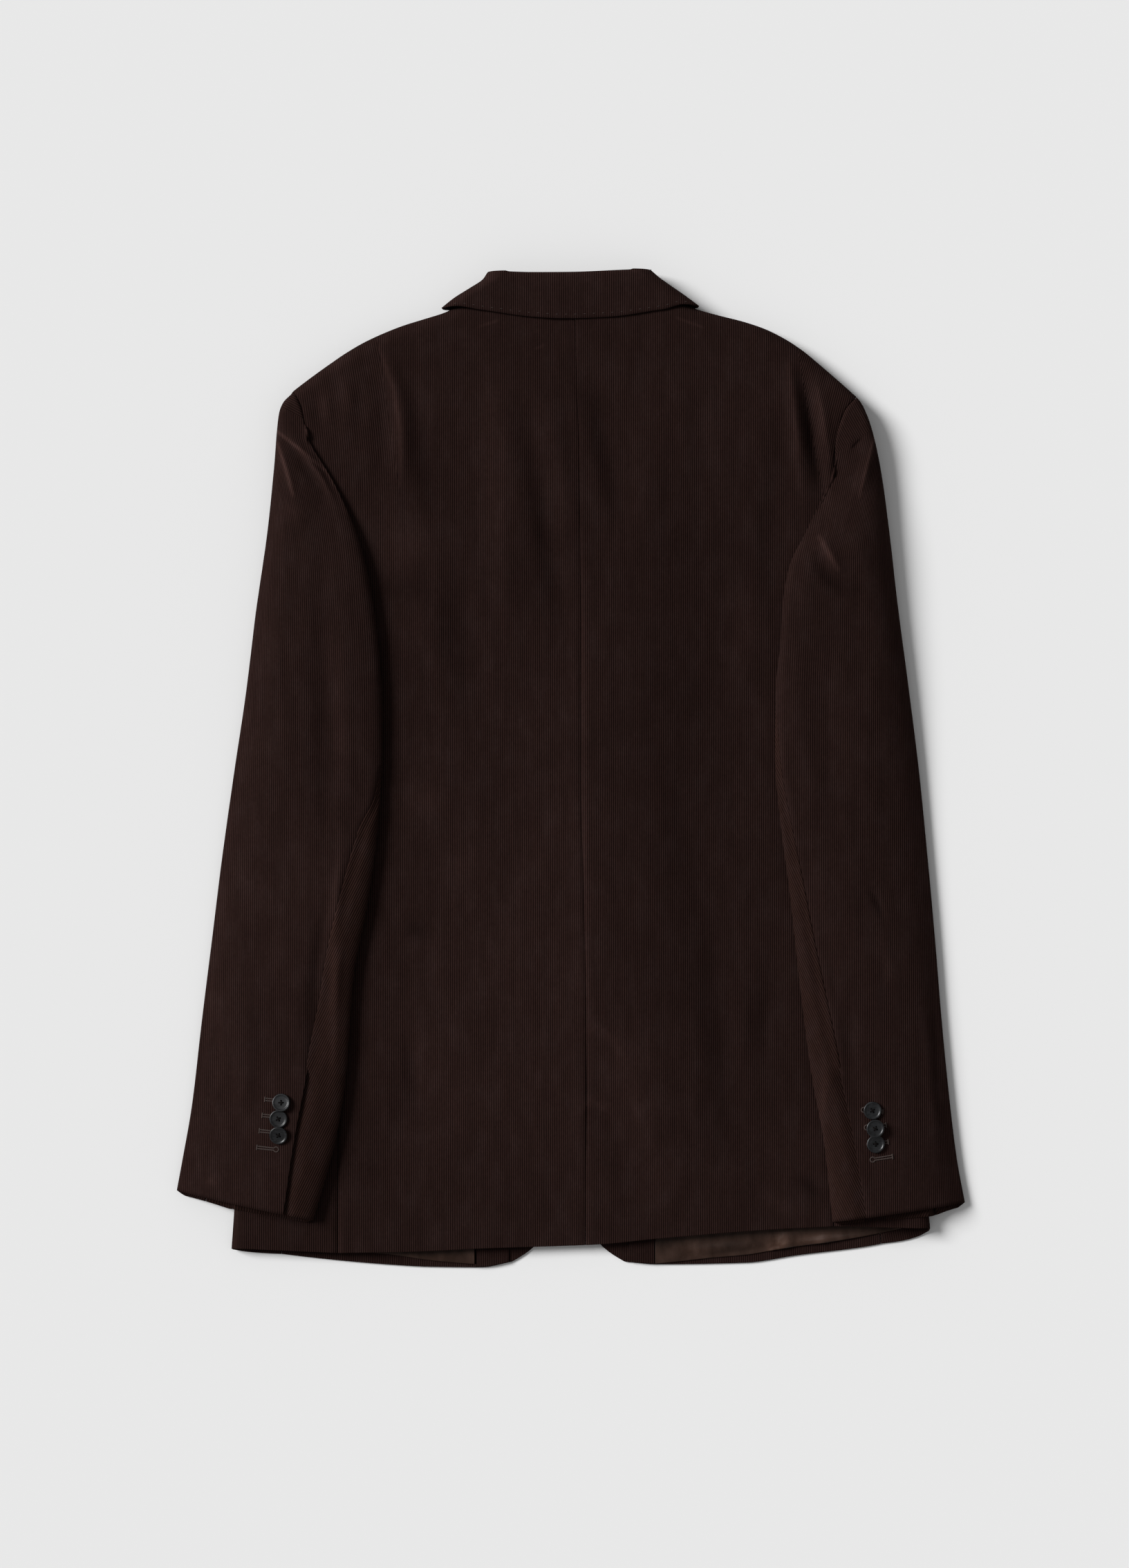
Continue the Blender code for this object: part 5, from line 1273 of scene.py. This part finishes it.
def read_rings(values, shares):
    """Values round each ring at that row's shares."""
    closed = np.concatenate([values, values[:, :1]], axis=1)
    at = (shares % 1.0) * RING_POINTS
    low = np.floor(at).astype(int)
    t = (at - low)[..., None]
    rows = np.arange(len(values))[:, None]
    return mix(closed[rows, low], closed[rows, low + 1], t)


def cosine_spread(count):
    """Shares from 0 to 1, closer together towards both ends."""
    even = np.linspace(0, 1, count)
    return mix(even, 0.5 - 0.5 * np.cos(np.pi * even), 0.35)


CUFF_DROP = 3.5  # the under layer of a cuff shows below the upper one
CUFF_TURN_TOP = -325.0
SATIN_TOP = -200.0
VENT_TOP = -247.0
# Painted highlights along the sharp fold ridges at the sleeve heads, and one painted shade line in a crease
SLEEVE_PAINTED_HIGHLIGHTS_AND_SHADE = (
    (0.75, 2.2, (-244.5, 281), (-224, 265)), (0.75, 2.2, (-224, 265), (-204, 248)),
    (0.45, 3.2, (-204, 248), (-186, 212)), (0.75, 2.2, (-244, 272), (-237, 252)),
    (0.6, 2.4, (-237, 252), (-230, 226)), (0.7, 1.8, (252, 277), (247, 258)),
    (0.6, 1.8, (247, 258), (239, 226)), (-0.6, 1.6, (233, 267), (240, 274.5)),
    (0.5, 3.0, (205, 194), (222, 164)),
)
TOPSLEEVE_CLOTH = corduroy("corduroy_topsleeve", lightness=1.04, marks=streaks(SLEEVE_PAINTED_HIGHLIGHTS_AND_SHADE), turns=True)
UNDERSLEEVE_CLOTH = corduroy("corduroy_undersleeve", lightness=1.08, warmth=1.0)
UNDERSLEEVE_GRAIN = 27.0  # degrees between its wales and the length of the jacket
SWING = 0.40  # how far the wales follow the folded edge where it swings out towards the armhole
SWING_FROM = 14.0  # it does so from this Y up
UPPER_SIDE = 8.0  # what is higher than this belongs to a sleeve's upper side
CRUMPLED = 26, 30  # how far round the fold's end a sleeve is ironed, and how many times
ON_TOPSLEEVE = (0.4, 0.7)  # shares of its rows and columns where it faces up
ON_UNDERSLEEVE = (0.3, 0.06)
VENT_DEEP = 2.3  # the undersleeve lies this far under the topsleeve at the vent
CAP_LINE = {"left": ((-242, 302), (-222, 291)), "right": ((252, 284), (221, 263))}  # under the sleeve cap
CAP_GRAIN = {"left": 62.0, "right": 30.0}  # its wales lie this far over


def plain_inside(y):
    """Where no satin shows inside a sleeve: in its turned-up cuff and beyond what can be seen."""
    return (y < CUFF_TURN_TOP) | (y > SATIN_TOP)


def facing_up(grid, up_at):
    """1 where a grid that faces up at one place does so, 0 where it has turned over."""
    rise = normals_of(grid)[..., 2]
    row, column = (int(share * (size - 1)) for share, size in zip(up_at, rise.shape))
    return ease(rise * np.sign(rise[row, column]) / 0.6)


topsleeves = {}


def iron(grid, place, reach, rounds):
    """Even out the grid around a place."""
    near = 0.5 * bell(apart(grid[..., :2], place) / reach)[1:-1, 1:-1, None]
    for _ in range(rounds):
        mean = (grid[:-2, 1:-1] + grid[2:, 1:-1] + grid[1:-1, :-2] + grid[1:-1, 2:]) / 4
        grid[1:-1, 1:-1] = mix(grid[1:-1, 1:-1], mean, near)
    return grid


def make_topsleeve(side, rings, keys, hindarm):
    reach = ease((SLEEVE_ROWS[:, None] - UNDERSLEEVE_TOP) / 0.1)
    below_arm = mix(keys[:, [FOREARM_KEY]], keys[:, [BODY_KEY]], 0.7 * reach)
    spread = np.unique(np.r_[cosine_spread(88), 1 - np.array((0.7, 1.6, 2.9, 4.4)) / 230])
    grid = read_rings(rings, mix(below_arm - 1, hindarm, spread[None, :]))
    grid = part_seams(iron(grid, FOLD_START[side], *CRUMPLED), first_column=SEAM_GAP)
    vent = ease((VENT_TOP - grid[:, -1:, 1]) / 10)
    grid[..., 2] += seam_roll(grid, grid[:, -1:], ridge=0.3) * (1 - vent) * facing_up(grid, ON_TOPSLEEVE)
    grid[..., 2] += 0.7 * vent * bell(apart(grid, grid[:, -1:]) / 9)
    x, y = grid[..., 0], grid[..., 1]
    uv = arc_uv(grid, int(ON_TOPSLEEVE[1] * grid.shape[1]), -OUT[side])
    upper = grid[..., 2] > UPPER_SIDE
    fold_x = read(SLEEVE_FOLD, side, y)
    swung = fold_x - read(SLEEVE_FOLD, side, SWING_FROM)
    uv[..., 0] -= SWING * swung * ease(1 - np.abs(x - fold_x) / 95) * (y > SWING_FROM) * upper
    beyond = np.where(upper, left_of(CAP_LINE[side], x, y) * -OUT[side], -9)
    cloth_piece(
        "topsleeve_panel_" + side, "topsleeve_" + side, ["back_" + side],
        grid, (TOPSLEEVE_CLOTH, LINING),
        uv=uv,
        up_at=ON_TOPSLEEVE,
        # painted light and shade along the topsleeve's folds
        nap_and_painted_shading=folds_at(SLEEVE_PAINTED_SHADING[side], x, y) * upper,
        turned_up=plain_inside(y),
        crease=(beyond, askew(x, y, CAP_GRAIN[side])),
    )
    topsleeves[side] = grid


def make_undersleeve(side, rings, keys, hindarm):
    forearm, corner, body = (keys[:, [key]] for key in (FOREARM_KEY, CORNER_KEY, BODY_KEY))
    hidden = int(np.sum(SLEEVE_ROWS <= UNDERSLEEVE_TOP))
    seam = read_rings(rings, hindarm)
    tuck = ease((VENT_TOP - seam[:, :, 1]) / 8)
    near = np.r_[0, 0.012, 0.03, 0.05, 0.08, np.linspace(0.11, 1, 44)][None, :]
    shares = [mix(hindarm - 0.005 - 0.021 * tuck, corner, near)]
    shares += [0.5 * (corner + body), mix(body, forearm, np.linspace(0, 1, 26)[None, :])]
    grid = read_rings(rings, np.concatenate(shares, axis=1))[:hidden]
    grid = part_seams(grid, last_column=SEAM_GAP)
    tuck = tuck[:hidden]
    inward = OUT[side] * (seam[:hidden, :, 0] - grid[..., 0])
    upper = grid[..., 2] > UPPER_SIDE
    sunk = seam_roll(grid, grid[:, 3:4], depth=0.9, ridge=0.3) - 0.5 * (np.arange(grid.shape[1]) < 3)
    grid[..., 2] += sunk * (1 - tuck) * facing_up(grid, ON_UNDERSLEEVE)
    grid[..., 2] -= upper * tuck * VENT_DEEP * (1 - ease(inward / 9))
    x, y = grid[..., 0], grid[..., 1]
    uv = arc_uv(grid, 0, -OUT[side])
    cloth_piece(
        "undersleeve_panel_" + side, "undersleeve_" + side, ["back_" + side],
        grid, (UNDERSLEEVE_CLOTH, LINING),
        uv=askew(uv[..., 0], uv[..., 1], UNDERSLEEVE_GRAIN * OUT[side]),
        up_at=ON_UNDERSLEEVE,
        # painted light and shade along the undersleeve's folds
        nap_and_painted_shading=folds_at(SLEEVE_PAINTED_SHADING[side], x, y) * upper,
        turned_up=plain_inside(y),
    )


for side in OUT:
    rings, keys = sleeve_surface(side)
    hindarm = hindarm_shares(side, rings, keys)[:, None]
    # Where it nears the fold it is led on further round it, out of sight
    hindarm = hindarm + 0.03 * ease((hindarm - keys[:, [FOLD_KEY]]) / 0.02 + 1)
    make_topsleeve(side, rings, keys, hindarm)
    make_undersleeve(side, rings, keys, hindarm)


# ==== The cuff buttons and buttonholes ====
# Three dark horn buttons on each cuff, 24 ligne, touching as they do on a good sleeve, and four worked
# buttonholes: three run out from under the buttons and the lowest is an empty keyhole.

CUFF_BUTTON = 15.0
BUTTON_THICK = 2.5
HOLES_APART = 3.3
HOLE = 1.5
HOLE_ANGLES = [math.pi / 4 + quarter * math.pi / 2 for quarter in range(4)]


def horn(name):
    """Polished dark horn: grey with darker and paler grain."""
    disc = Finish(name, Specular_IOR_Level=0.32, Coat_Weight=0.08, Coat_Roughness=0.2)
    place = disc.place()
    grain = disc.noise(place, (260, 900, 260), detail=3.0, roughness=0.6)
    patch_tone = disc.noise(place, (120, 120, 120))
    tone = disc.blend(grain.between(0.35, 0.7), (0.002, 0.002, 0.0025, 1), (0.009, 0.0095, 0.0105, 1))
    tone = disc.blend(patch_tone.between(0.5, 0.75) * 0.6, tone, (0.022, 0.023, 0.025, 1))
    return disc.feed(Base_Color=tone, Roughness=0.3 + grain * 0.16, Normal=disc.relief(grain, 0.04))


def thread(name, colour, sheen=0.1):
    """Twisted buttonhole thread."""
    twist = Finish(name, Specular_IOR_Level=2.5 * sheen, Sheen_Weight=sheen)
    strand = twist.noise(twist.place(), (2400, 2400, 2400))
    tone = twist.tint(colour, strand * 0.8 + 0.6)
    return twist.feed(Base_Color=tone, Roughness=0.7 + strand * 0.2, Normal=twist.relief(strand, 0.08))


HORN = horn("horn_buttons")
DARK_THREAD = thread("button_thread", (0.0035, 0.0025, 0.0025), sheen=0.02)
HOLE_THREAD = thread("buttonhole_thread", (0.040, 0.026, 0.022))


def button_mesh(diameter, thick):
    """A turned disc with a rolled rim, a dished face and four holes, standing on z = 0."""
    radius = diameter / 2
    profile = (
        (0.0, 0.0), (0.6, 0.0), (0.8, 0.06), (0.94, 0.28), (0.99, 0.5), (1.0, 0.66), (0.985, 0.84),
        (0.95, 0.95), (0.9, 1.0), (0.85, 0.98), (0.8, 0.9), (0.76, 0.78), (0.7, 0.72), (0.6, 0.69),
        (0.3, 0.66), (0.0, 0.65),
    )
    disc = bmesh.new()
    ring = [disc.verts.new((share * radius * MM, 0, height * thick * MM)) for share, height in profile]
    for pair in zip(ring, ring[1:]):
        disc.edges.new(pair)
    around = {"cent": (0, 0, 0), "axis": (0, 0, 1), "angle": math.tau, "steps": 56, "use_merge": True}
    bmesh.ops.spin(disc, geom=disc.verts[:] + disc.edges[:], **around)
    bmesh.ops.remove_doubles(disc, verts=disc.verts[:], dist=0.004 * MM)
    bmesh.ops.recalc_face_normals(disc, faces=disc.faces[:])
    drill = bmesh.new()
    size = {"radius1": HOLE / 2 * MM, "radius2": HOLE / 2 * MM, "depth": 4 * thick * MM}
    for angle in HOLE_ANGLES:
        made = bmesh.ops.create_cone(drill, cap_ends=True, segments=18, **size)
        shift = (math.cos(angle) * HOLES_APART / 2 * MM, math.sin(angle) * HOLES_APART / 2 * MM, 0)
        bmesh.ops.translate(drill, verts=made["verts"], vec=shift)
    whole = put("turned_disc", mesh_of(disc, "turned_disc"))
    tool = put("drill", mesh_of(drill, "drill"))
    cut = whole.modifiers.new("holes", "BOOLEAN")
    cut.operation = "DIFFERENCE"
    cut.object = tool
    cut.solver = "EXACT"
    done = bpy.data.meshes.new_from_object(whole.evaluated_get(bpy.context.evaluated_depsgraph_get()))
    for thing in (whole, tool):
        bpy.data.objects.remove(thing)
    done.materials.clear()
    done.materials.append(HORN)
    done.shade_smooth()
    done.set_sharp_from_angle(angle=math.radians(45))
    return done


def seat(node, face_up=1.0, spin=0.0):
    """Turns and moves a mesh from z = 0 to where the node's disc is."""
    solid = bpy.data.objects[node]
    points = np.array([solid.matrix_world @ vertex.co for vertex in solid.data.vertices])
    up = np.linalg.svd(points - points.mean(axis=0), full_matrices=False)[2][2]
    up = up * (face_up if up[2] > 0 else -face_up)
    right = np.cross((0.0, 1.0, 0.0), up)
    right /= np.linalg.norm(right)
    spun = right * math.cos(spin) + np.cross(up, right) * math.sin(spin)
    turn = np.array((spun, np.cross(up, spun), up))
    local = points @ turn.T
    centre = 0.5 * (local.min(axis=0) + local.max(axis=0))
    centre[2] = local[:, 2].min()
    matrix = np.eye(4)
    matrix[:3, :3] = turn.T
    matrix[:3, 3] = turn.T @ centre
    return matrix


def thread_mesh(name, paths, finish):
    """Round thread along paths of (x, y, z, radius) in millimetres."""
    line = bpy.data.curves.new(name, "CURVE")
    line.dimensions = "3D"
    line.bevel_depth = MM
    line.bevel_resolution = 2
    line.use_fill_caps = True
    for path in paths:
        spline = line.splines.new("POLY")
        spline.points.add(len(path) - 1)
        for point, (x, y, z, radius) in zip(spline.points, path):
            point.co = (x * MM, y * MM, z * MM, 1)
            point.radius = radius
    holder = bpy.data.objects.new(name, line)
    mesh = bpy.data.meshes.new_from_object(holder)
    bpy.data.objects.remove(holder)
    mesh.name = name
    mesh.materials.clear()
    mesh.materials.append(finish)
    mesh.shade_smooth()
    return mesh


def show(name, mesh, slot, *nodes):
    """A mesh as a piece of the jacket, for the solids that it stands for if there are any."""
    piece = put(name, mesh)
    if nodes:
        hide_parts(*nodes)
    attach(piece, "root")


def cross_threads(thick):
    """Two crossed stitches through the four holes."""
    paths = []
    base = 0.65 * thick
    t = np.linspace(-1, 1, 11)
    for quarter, angle in enumerate(HOLE_ANGLES[:2]):
        dx, dy = (f(angle) * HOLES_APART / 2 for f in (math.cos, math.sin))
        for shift in (-0.22, 0.22):
            sx, sy = -dy / HOLES_APART * 2 * shift, dx / HOLES_APART * 2 * shift
            rise = base + 0.42 + 0.18 * quarter - 1.4 * np.clip((np.abs(t) - 0.72) / 0.28, 0, 1) ** 1.6
            paths.append([(dx * k + sx, dy * k + sy, z, 0.3) for k, z in zip(t, rise)])
    return paths


def transformed(mesh, matrix):
    """A copy of a mesh with its points moved, so that its object can stay unturned at the origin."""
    copy = mesh.copy()
    flat = np.empty(len(copy.vertices) * 3, np.float32)
    copy.vertices.foreach_get("co", flat)
    points = flat.reshape(-1, 3) @ matrix[:3, :3].T + matrix[:3, 3]
    copy.vertices.foreach_set("co", points.astype(np.float32).ravel())
    copy.update()
    return copy


cuff_disc = button_mesh(CUFF_BUTTON, BUTTON_THICK)
for side in OUT:
    for number in (1, 2, 3):
        node = f"cuff_button_{side}_{number}"
        matrix = seat(node, 1.0, 0.5 * number + (0.3 if side == "left" else 0.9))
        show(f"horn_button_{side}_{number}", transformed(cuff_disc, matrix), "horn", node)
        stitched = thread_mesh(f"button_thread_{side}_{number}", cross_threads(BUTTON_THICK), DARK_THREAD)
        show(f"button_thread_{side}_{number}", transformed(stitched, matrix), "corduroy")

# From the bartack at the outer end to the eye at the inner end
BUTTONHOLES = {
    "left": (
        ((-253.6, -273.6), (-235.0, -275.2)), ((-255.8, -286.9), (-237.2, -288.6)),
        ((-258.2, -299.7), (-239.6, -301.4)), ((-260.2, -313.4), (-242.2, -315.1)),
    ),
    "right": (
        ((258.5, -283.8), (241.0, -282.0)), ((261.3, -294.8), (243.5, -297.0)),
        ((263.1, -308.8), (245.5, -310.6)), ((266.7, -320.9), (248.3, -323.6)),
    ),
}
LEG = 1.0  # each worked edge stands this far from the cut
EYE = 1.9  # radius of the keyhole's eye
PURL = 0.75  # from one stitch to the next


def height_on(grid, x, y):
    """Height of the topsleeve's upper face at a point."""
    points = grid[grid[..., 2] > UPPER_SIDE]
    near = np.argsort(np.hypot(points[:, 0] - x, points[:, 1] - y))[:4]
    return points[near, 2].mean()


def worked_edge(side, outer, inner):
    """Purled thread along both edges of the cut and round its eye, then the bar across its end."""
    outer, inner = np.array(outer), np.array(inner)
    length = np.linalg.norm(inner - outer)
    way = (inner - outer) / length
    across = np.array((-way[1], way[0]))
    open_angle = math.asin(LEG / (EYE + 0.3))
    eye = inner - way * EYE
    sweep = np.linspace(math.pi - open_angle, -math.pi + open_angle, 26)
    loop = [eye + (EYE + 0.1) * (math.cos(a) * way + math.sin(a) * across) for a in sweep]
    legs = np.linspace(0, 1, 14)[:, None]
    start = outer + across * LEG
    path = np.concatenate([mix(start, loop[0], legs), loop, mix(loop[-1], outer - across * LEG, legs)])
    marks = passed(path)
    keep = np.r_[True, np.diff(marks) > 1e-6]
    at = np.arange(0, marks[-1], PURL / 4)
    line = fair(marks[keep], path[keep], at)
    ends = [height_on(topsleeves[side], *end) for end in (outer, inner)]
    z = fair([0, 1], ends, (line - outer) @ way / length)
    thickness = 0.5 + 0.13 * np.cos(at / PURL * math.tau)
    bar = [outer + across * k for k in np.linspace(-2.1, 2.1, 15)]
    bar_z = ends[0] + 0.35
    return [
        [(x, y, h + 0.15, r) for (x, y), h, r in zip(line, z, thickness)],
        [(x, y, bar_z, 0.5 + 0.12 * (i % 2)) for i, (x, y) in enumerate(bar)],
    ]


for side in OUT:
    paths = [path for hole in BUTTONHOLES[side] for path in worked_edge(side, *hole)]
    show(f"buttonholes_{side}", thread_mesh(f"buttonholes_{side}", paths, HOLE_THREAD), "corduroy")


# ==== The collar ====
# A corduroy leaf that folds over the stand, lies down the back and runs round to both fronts, where it is
# pressed flat. Prick stitches of the same brown hold its edge.

COLLAR_TOP = table(
    "share x y", (0, -67.3, 413.9), (0.3, -28.6, 412.6), (0.5, 2.5, 412.9), (0.75, 35, 414.2),
    (1, 64.1, 415.5),
)
COLLAR_LEAF = table(
    "share x y", (0, -105.2, 384.1), (0.1, -83.7, 382.2), (0.35, -31.9, 375.2), (0.5, -4.4, 373.8),
    (0.65, 30, 375.0), (0.87, 80, 382.0), (1, 104.5, 385.6),
)
COLLAR_TURN = 9.0  # how far out each wing goes where it turns round the neck edge of the shoulder
COLLAR_BAY = {"left": 5.0, "right": 1.5}  # how far the end of each wing is hollowed beside the neck
COLLAR_FRONT = (  # fold edge and leaf edge under the front: away from the centre front, Y
    ((64.0, 396.0), (103.5, 372.0)), ((61.5, 372.0), (102.5, 354.0)), ((59.5, 347.0), (101.0, 337.0)),
)


def collar_across(fold, leaf, z_fold, z_leaf, up):
    """One line across the collar, from under its fold round to the leaf edge; up is 1 on top of the back."""
    t = mix(
        np.array([0.0, 0.02, 0.05, 0.2, 0.45, 0.72, 1.0]),
        np.array([0.07, 0.012, 0.05, 0.2, 0.45, 0.72, 1.0]),
        up,
    )
    flat = mix(np.asarray(fold)[None], np.asarray(leaf)[None], t[:, None])
    lifts = np.array([-4.6, -2.4, 0.0, 0.6, 0.3, 0.0, 0.0])
    return with_z(flat, mix(z_fold, z_leaf, t) + up * lifts)


def collar_grid():
    """Outer face of the collar leaf: left front end, round the neck, across the back, right front end."""
    lines = []
    shares = np.r_[0, 0.06, np.linspace(0.13, 0.87, 12), 0.94, 1]
    fold_x = read(COLLAR_TOP, "x", shares)
    fold_y = read(COLLAR_TOP, "y", shares)
    leaf_x = read(COLLAR_LEAF, "x", shares)
    leaf_y = read(COLLAR_LEAF, "y", shares)
    pairs = list(zip(joined(fold_x, fold_y), joined(leaf_x, leaf_y)))

    def over_back(fold, leaf, up=1.0):
        z_leaf = back_height(leaf[0], leaf[1], folded=False) + LAYER_GAP + WALL + 0.3
        return collar_across(fold, leaf, z_leaf + 3.4, z_leaf, up)

    for side in OUT:
        pair = pairs[0] if side == "left" else pairs[-1]
        edge = pair[1] - pair[0]
        slant = np.linalg.norm(edge) / abs(edge[1])
        turn = []
        for angle in np.radians((0, 28, 60, 90, 120, 152, 180)):
            line = over_back(*pair, max(math.cos(angle), 0.0))
            from_neck = apart(line[:, :2], pair[0]) / np.linalg.norm(edge)
            hollow = COLLAR_BAY[side] * bell((from_neck - 0.28) / 0.22)
            line[:, 0] += OUT[side] * ((COLLAR_TURN * (math.sin(angle) - 1) + 1.5) * slant - hollow)
            line[:, 2] *= 0.5 + 0.5 * math.cos(angle)
            turn.append(line)
        under = []
        for fold, leaf in COLLAR_FRONT:
            ends = [np.array((CENTRE_FRONT + OUT[side] * a, y)) for a, y in (fold, leaf)]
            under.append(collar_across(ends[0], ends[1], 0.0, 0.0, 0.0))
        lines.append(turn + under)
    return np.array(lines[0][::-1] + [over_back(*pair) for pair in pairs[2:-2]] + lines[1])


OVER_BACK = 12.0  # what is higher than this lies on the back
STAND_TOP = 408.0
COLLAR_CLOTH = corduroy("corduroy_collar", lightness=1.12, warmth=-0.3)
STAND_CLOTH = corduroy("corduroy_stand", lightness=0.95)


def make_collar():
    leaf = refine(collar_grid(), spacing=2.6, fine=(0.6, 1.3, 2.2))
    x, y = leaf[..., 0].copy(), leaf[..., 1].copy()
    leaf[..., 2] -= 0.5 * bell(apart(leaf, leaf[:, -1:]) / 0.9) * (leaf[..., 2] > OVER_BACK)
    leaf[..., 2] += 0.3 * undulation(x, y, size=70, seed=5) * (leaf[..., 2] > OVER_BACK)
    # Where it faces up under the fronts, its wall still has to lie on the surface
    leaf[..., 2] = np.maximum(leaf[..., 2], 0.05 + (WALL + 0.05) * facing_up(leaf, (0.5, 0.5)))
    backs = ["back_left", "back_right"]
    cloth_piece("collar_fall", "collar_leaf", backs, leaf, (COLLAR_CLOTH,))
    shares = np.linspace(0.06, 0.94, 14)
    fold_x = read(COLLAR_TOP, "x", shares)
    seam_x = mix(SHOULDER["left"][0][0] + 6, SHOULDER["right"][0][0] - 6, shares)
    lines = []
    for t in np.linspace(0, 1, 4):
        x = mix(seam_x, fold_x, t)
        y = mix(NECK_DIP + 1.0 + LAYER_GAP, STAND_TOP, t)
        z = back_height(x, np.full_like(x, 380.0), folded=False) + 0.5 * t
        lines.append(joined(x, np.full_like(x, y), z))
    stand = refine(np.array(lines), spacing=4.0)
    cloth_piece("collar_stand_band", "collar_stand", backs, stand, (STAND_CLOTH,))
    return leaf


collar = make_collar()

PRICK_GAP = 7.7
PRICK_IN = 3.6  # from the leaf's edge
PRICK_LONG = 1.5
PRICKED_FROM = 20.0  # height of the leaf's edge where it lies on the back


def prick_stitches():
    """Short stitches in a row, sunk into the pile at both ends."""
    on_back = collar[collar[:, -1, 2] > PRICKED_FROM]
    edge = on_back[:, -1]
    inward = on_back[:, -6] - edge
    inward /= np.linalg.norm(inward, axis=1, keepdims=True)
    line = edge + inward * PRICK_IN
    marks = passed(line)
    face = on_back.reshape(-1, 3)
    paths = []
    for centre in np.arange(PRICK_GAP / 2, marks[-1], PRICK_GAP):
        places = fair(marks, line, np.linspace(centre - PRICK_LONG / 2, centre + PRICK_LONG / 2, 5))
        top = face[np.argmin(apart(face, places[2])), 2]
        bow = (0.0, 0.22, 0.28, 0.22, 0.0)
        paths.append([(x, y, top - 0.12 + rise, 0.21) for (x, y, _), rise in zip(places, bow)])
    return paths


PRICK_THREAD = thread("prick_thread", (0.036, 0.023, 0.020))
show("prick_stitches", thread_mesh("prick_stitches", prick_stitches(), PRICK_THREAD), "corduroy")


# ==== The front buttons ====
# Two larger horn buttons, 32 ligne, under the closed fronts. Only their backs and rims can be seen, from
# below.

FRONT_BUTTON = 20.0
FRONT_THICK = 2.3

front_disc = button_mesh(FRONT_BUTTON, FRONT_THICK)
for number in (1, 2):
    node = f"front_button_{number}"
    show(f"horn_front_button_{number}", transformed(front_disc, seat(node, -1.0)), "horn", node)


# ==== Floor, light and camera ====
# A plain pale floor under soft light from the upper left, and a camera straight above.

FLOOR_TONE = (0.80, 0.80, 0.80, 1)
FLOOR_DROP = 0.3  # keeps its face from the jacket's
FRAME_HEIGHT = 2268 * 0.575  # rows of the frame, and millimetres that a row shows
SCALE_DISTANCE = 3000.0
SCALE_LEVEL = 14.0  # over the floor, where the frame's scale holds
SENSOR = 36.0
AIM = (-5.2, -12.1)
AMBIENT = 0.29
KEY = 4.05
KEY_SPREAD = 24
KEY_ELEVATION = 34  # degrees over the floor
KEY_AZIMUTH = 24  # it comes from the left, this far round towards the collar

floor_form = bmesh.new()
bmesh.ops.create_grid(floor_form, x_segments=1, y_segments=1, size=6.0)
floor = put("floor", mesh_of(floor_form, "floor"))
pale = Finish("pale_floor", Base_Color=FLOOR_TONE, Roughness=1.0, Specular_IOR_Level=0.0)
floor.data.materials.append(pale.material)
floor.data.transform(Matrix.Translation((0, 0, -FLOOR_DROP * MM)))

world = bpy.data.worlds.new("studio")
world.use_nodes = True
world.node_tree.nodes["Background"].inputs["Color"].default_value = (1, 1, 1, 1)
world.node_tree.nodes["Background"].inputs["Strength"].default_value = AMBIENT
bpy.context.scene.world = world

sun = bpy.data.lights.new("key", "SUN")
sun.energy = KEY
sun.angle = math.radians(KEY_SPREAD)
elevation, azimuth = math.radians(KEY_ELEVATION), math.radians(KEY_AZIMUTH)
level = math.cos(elevation)
way = Vector((level * math.cos(azimuth), -level * math.sin(azimuth), -math.sin(elevation)))
put("key", sun).rotation_euler = way.to_track_quat("-Z", "Y").to_euler()

lens = bpy.data.cameras.new("above")
lens.lens = SENSOR * SCALE_DISTANCE / FRAME_HEIGHT
lens.sensor_width = SENSOR
lens.sensor_fit = "AUTO"
camera = put("above", lens)
camera.location = (AIM[0] * MM, AIM[1] * MM, (SCALE_DISTANCE + SCALE_LEVEL) * MM)
bpy.context.scene.camera = camera
bpy.context.scene.view_settings.view_transform = "Standard"
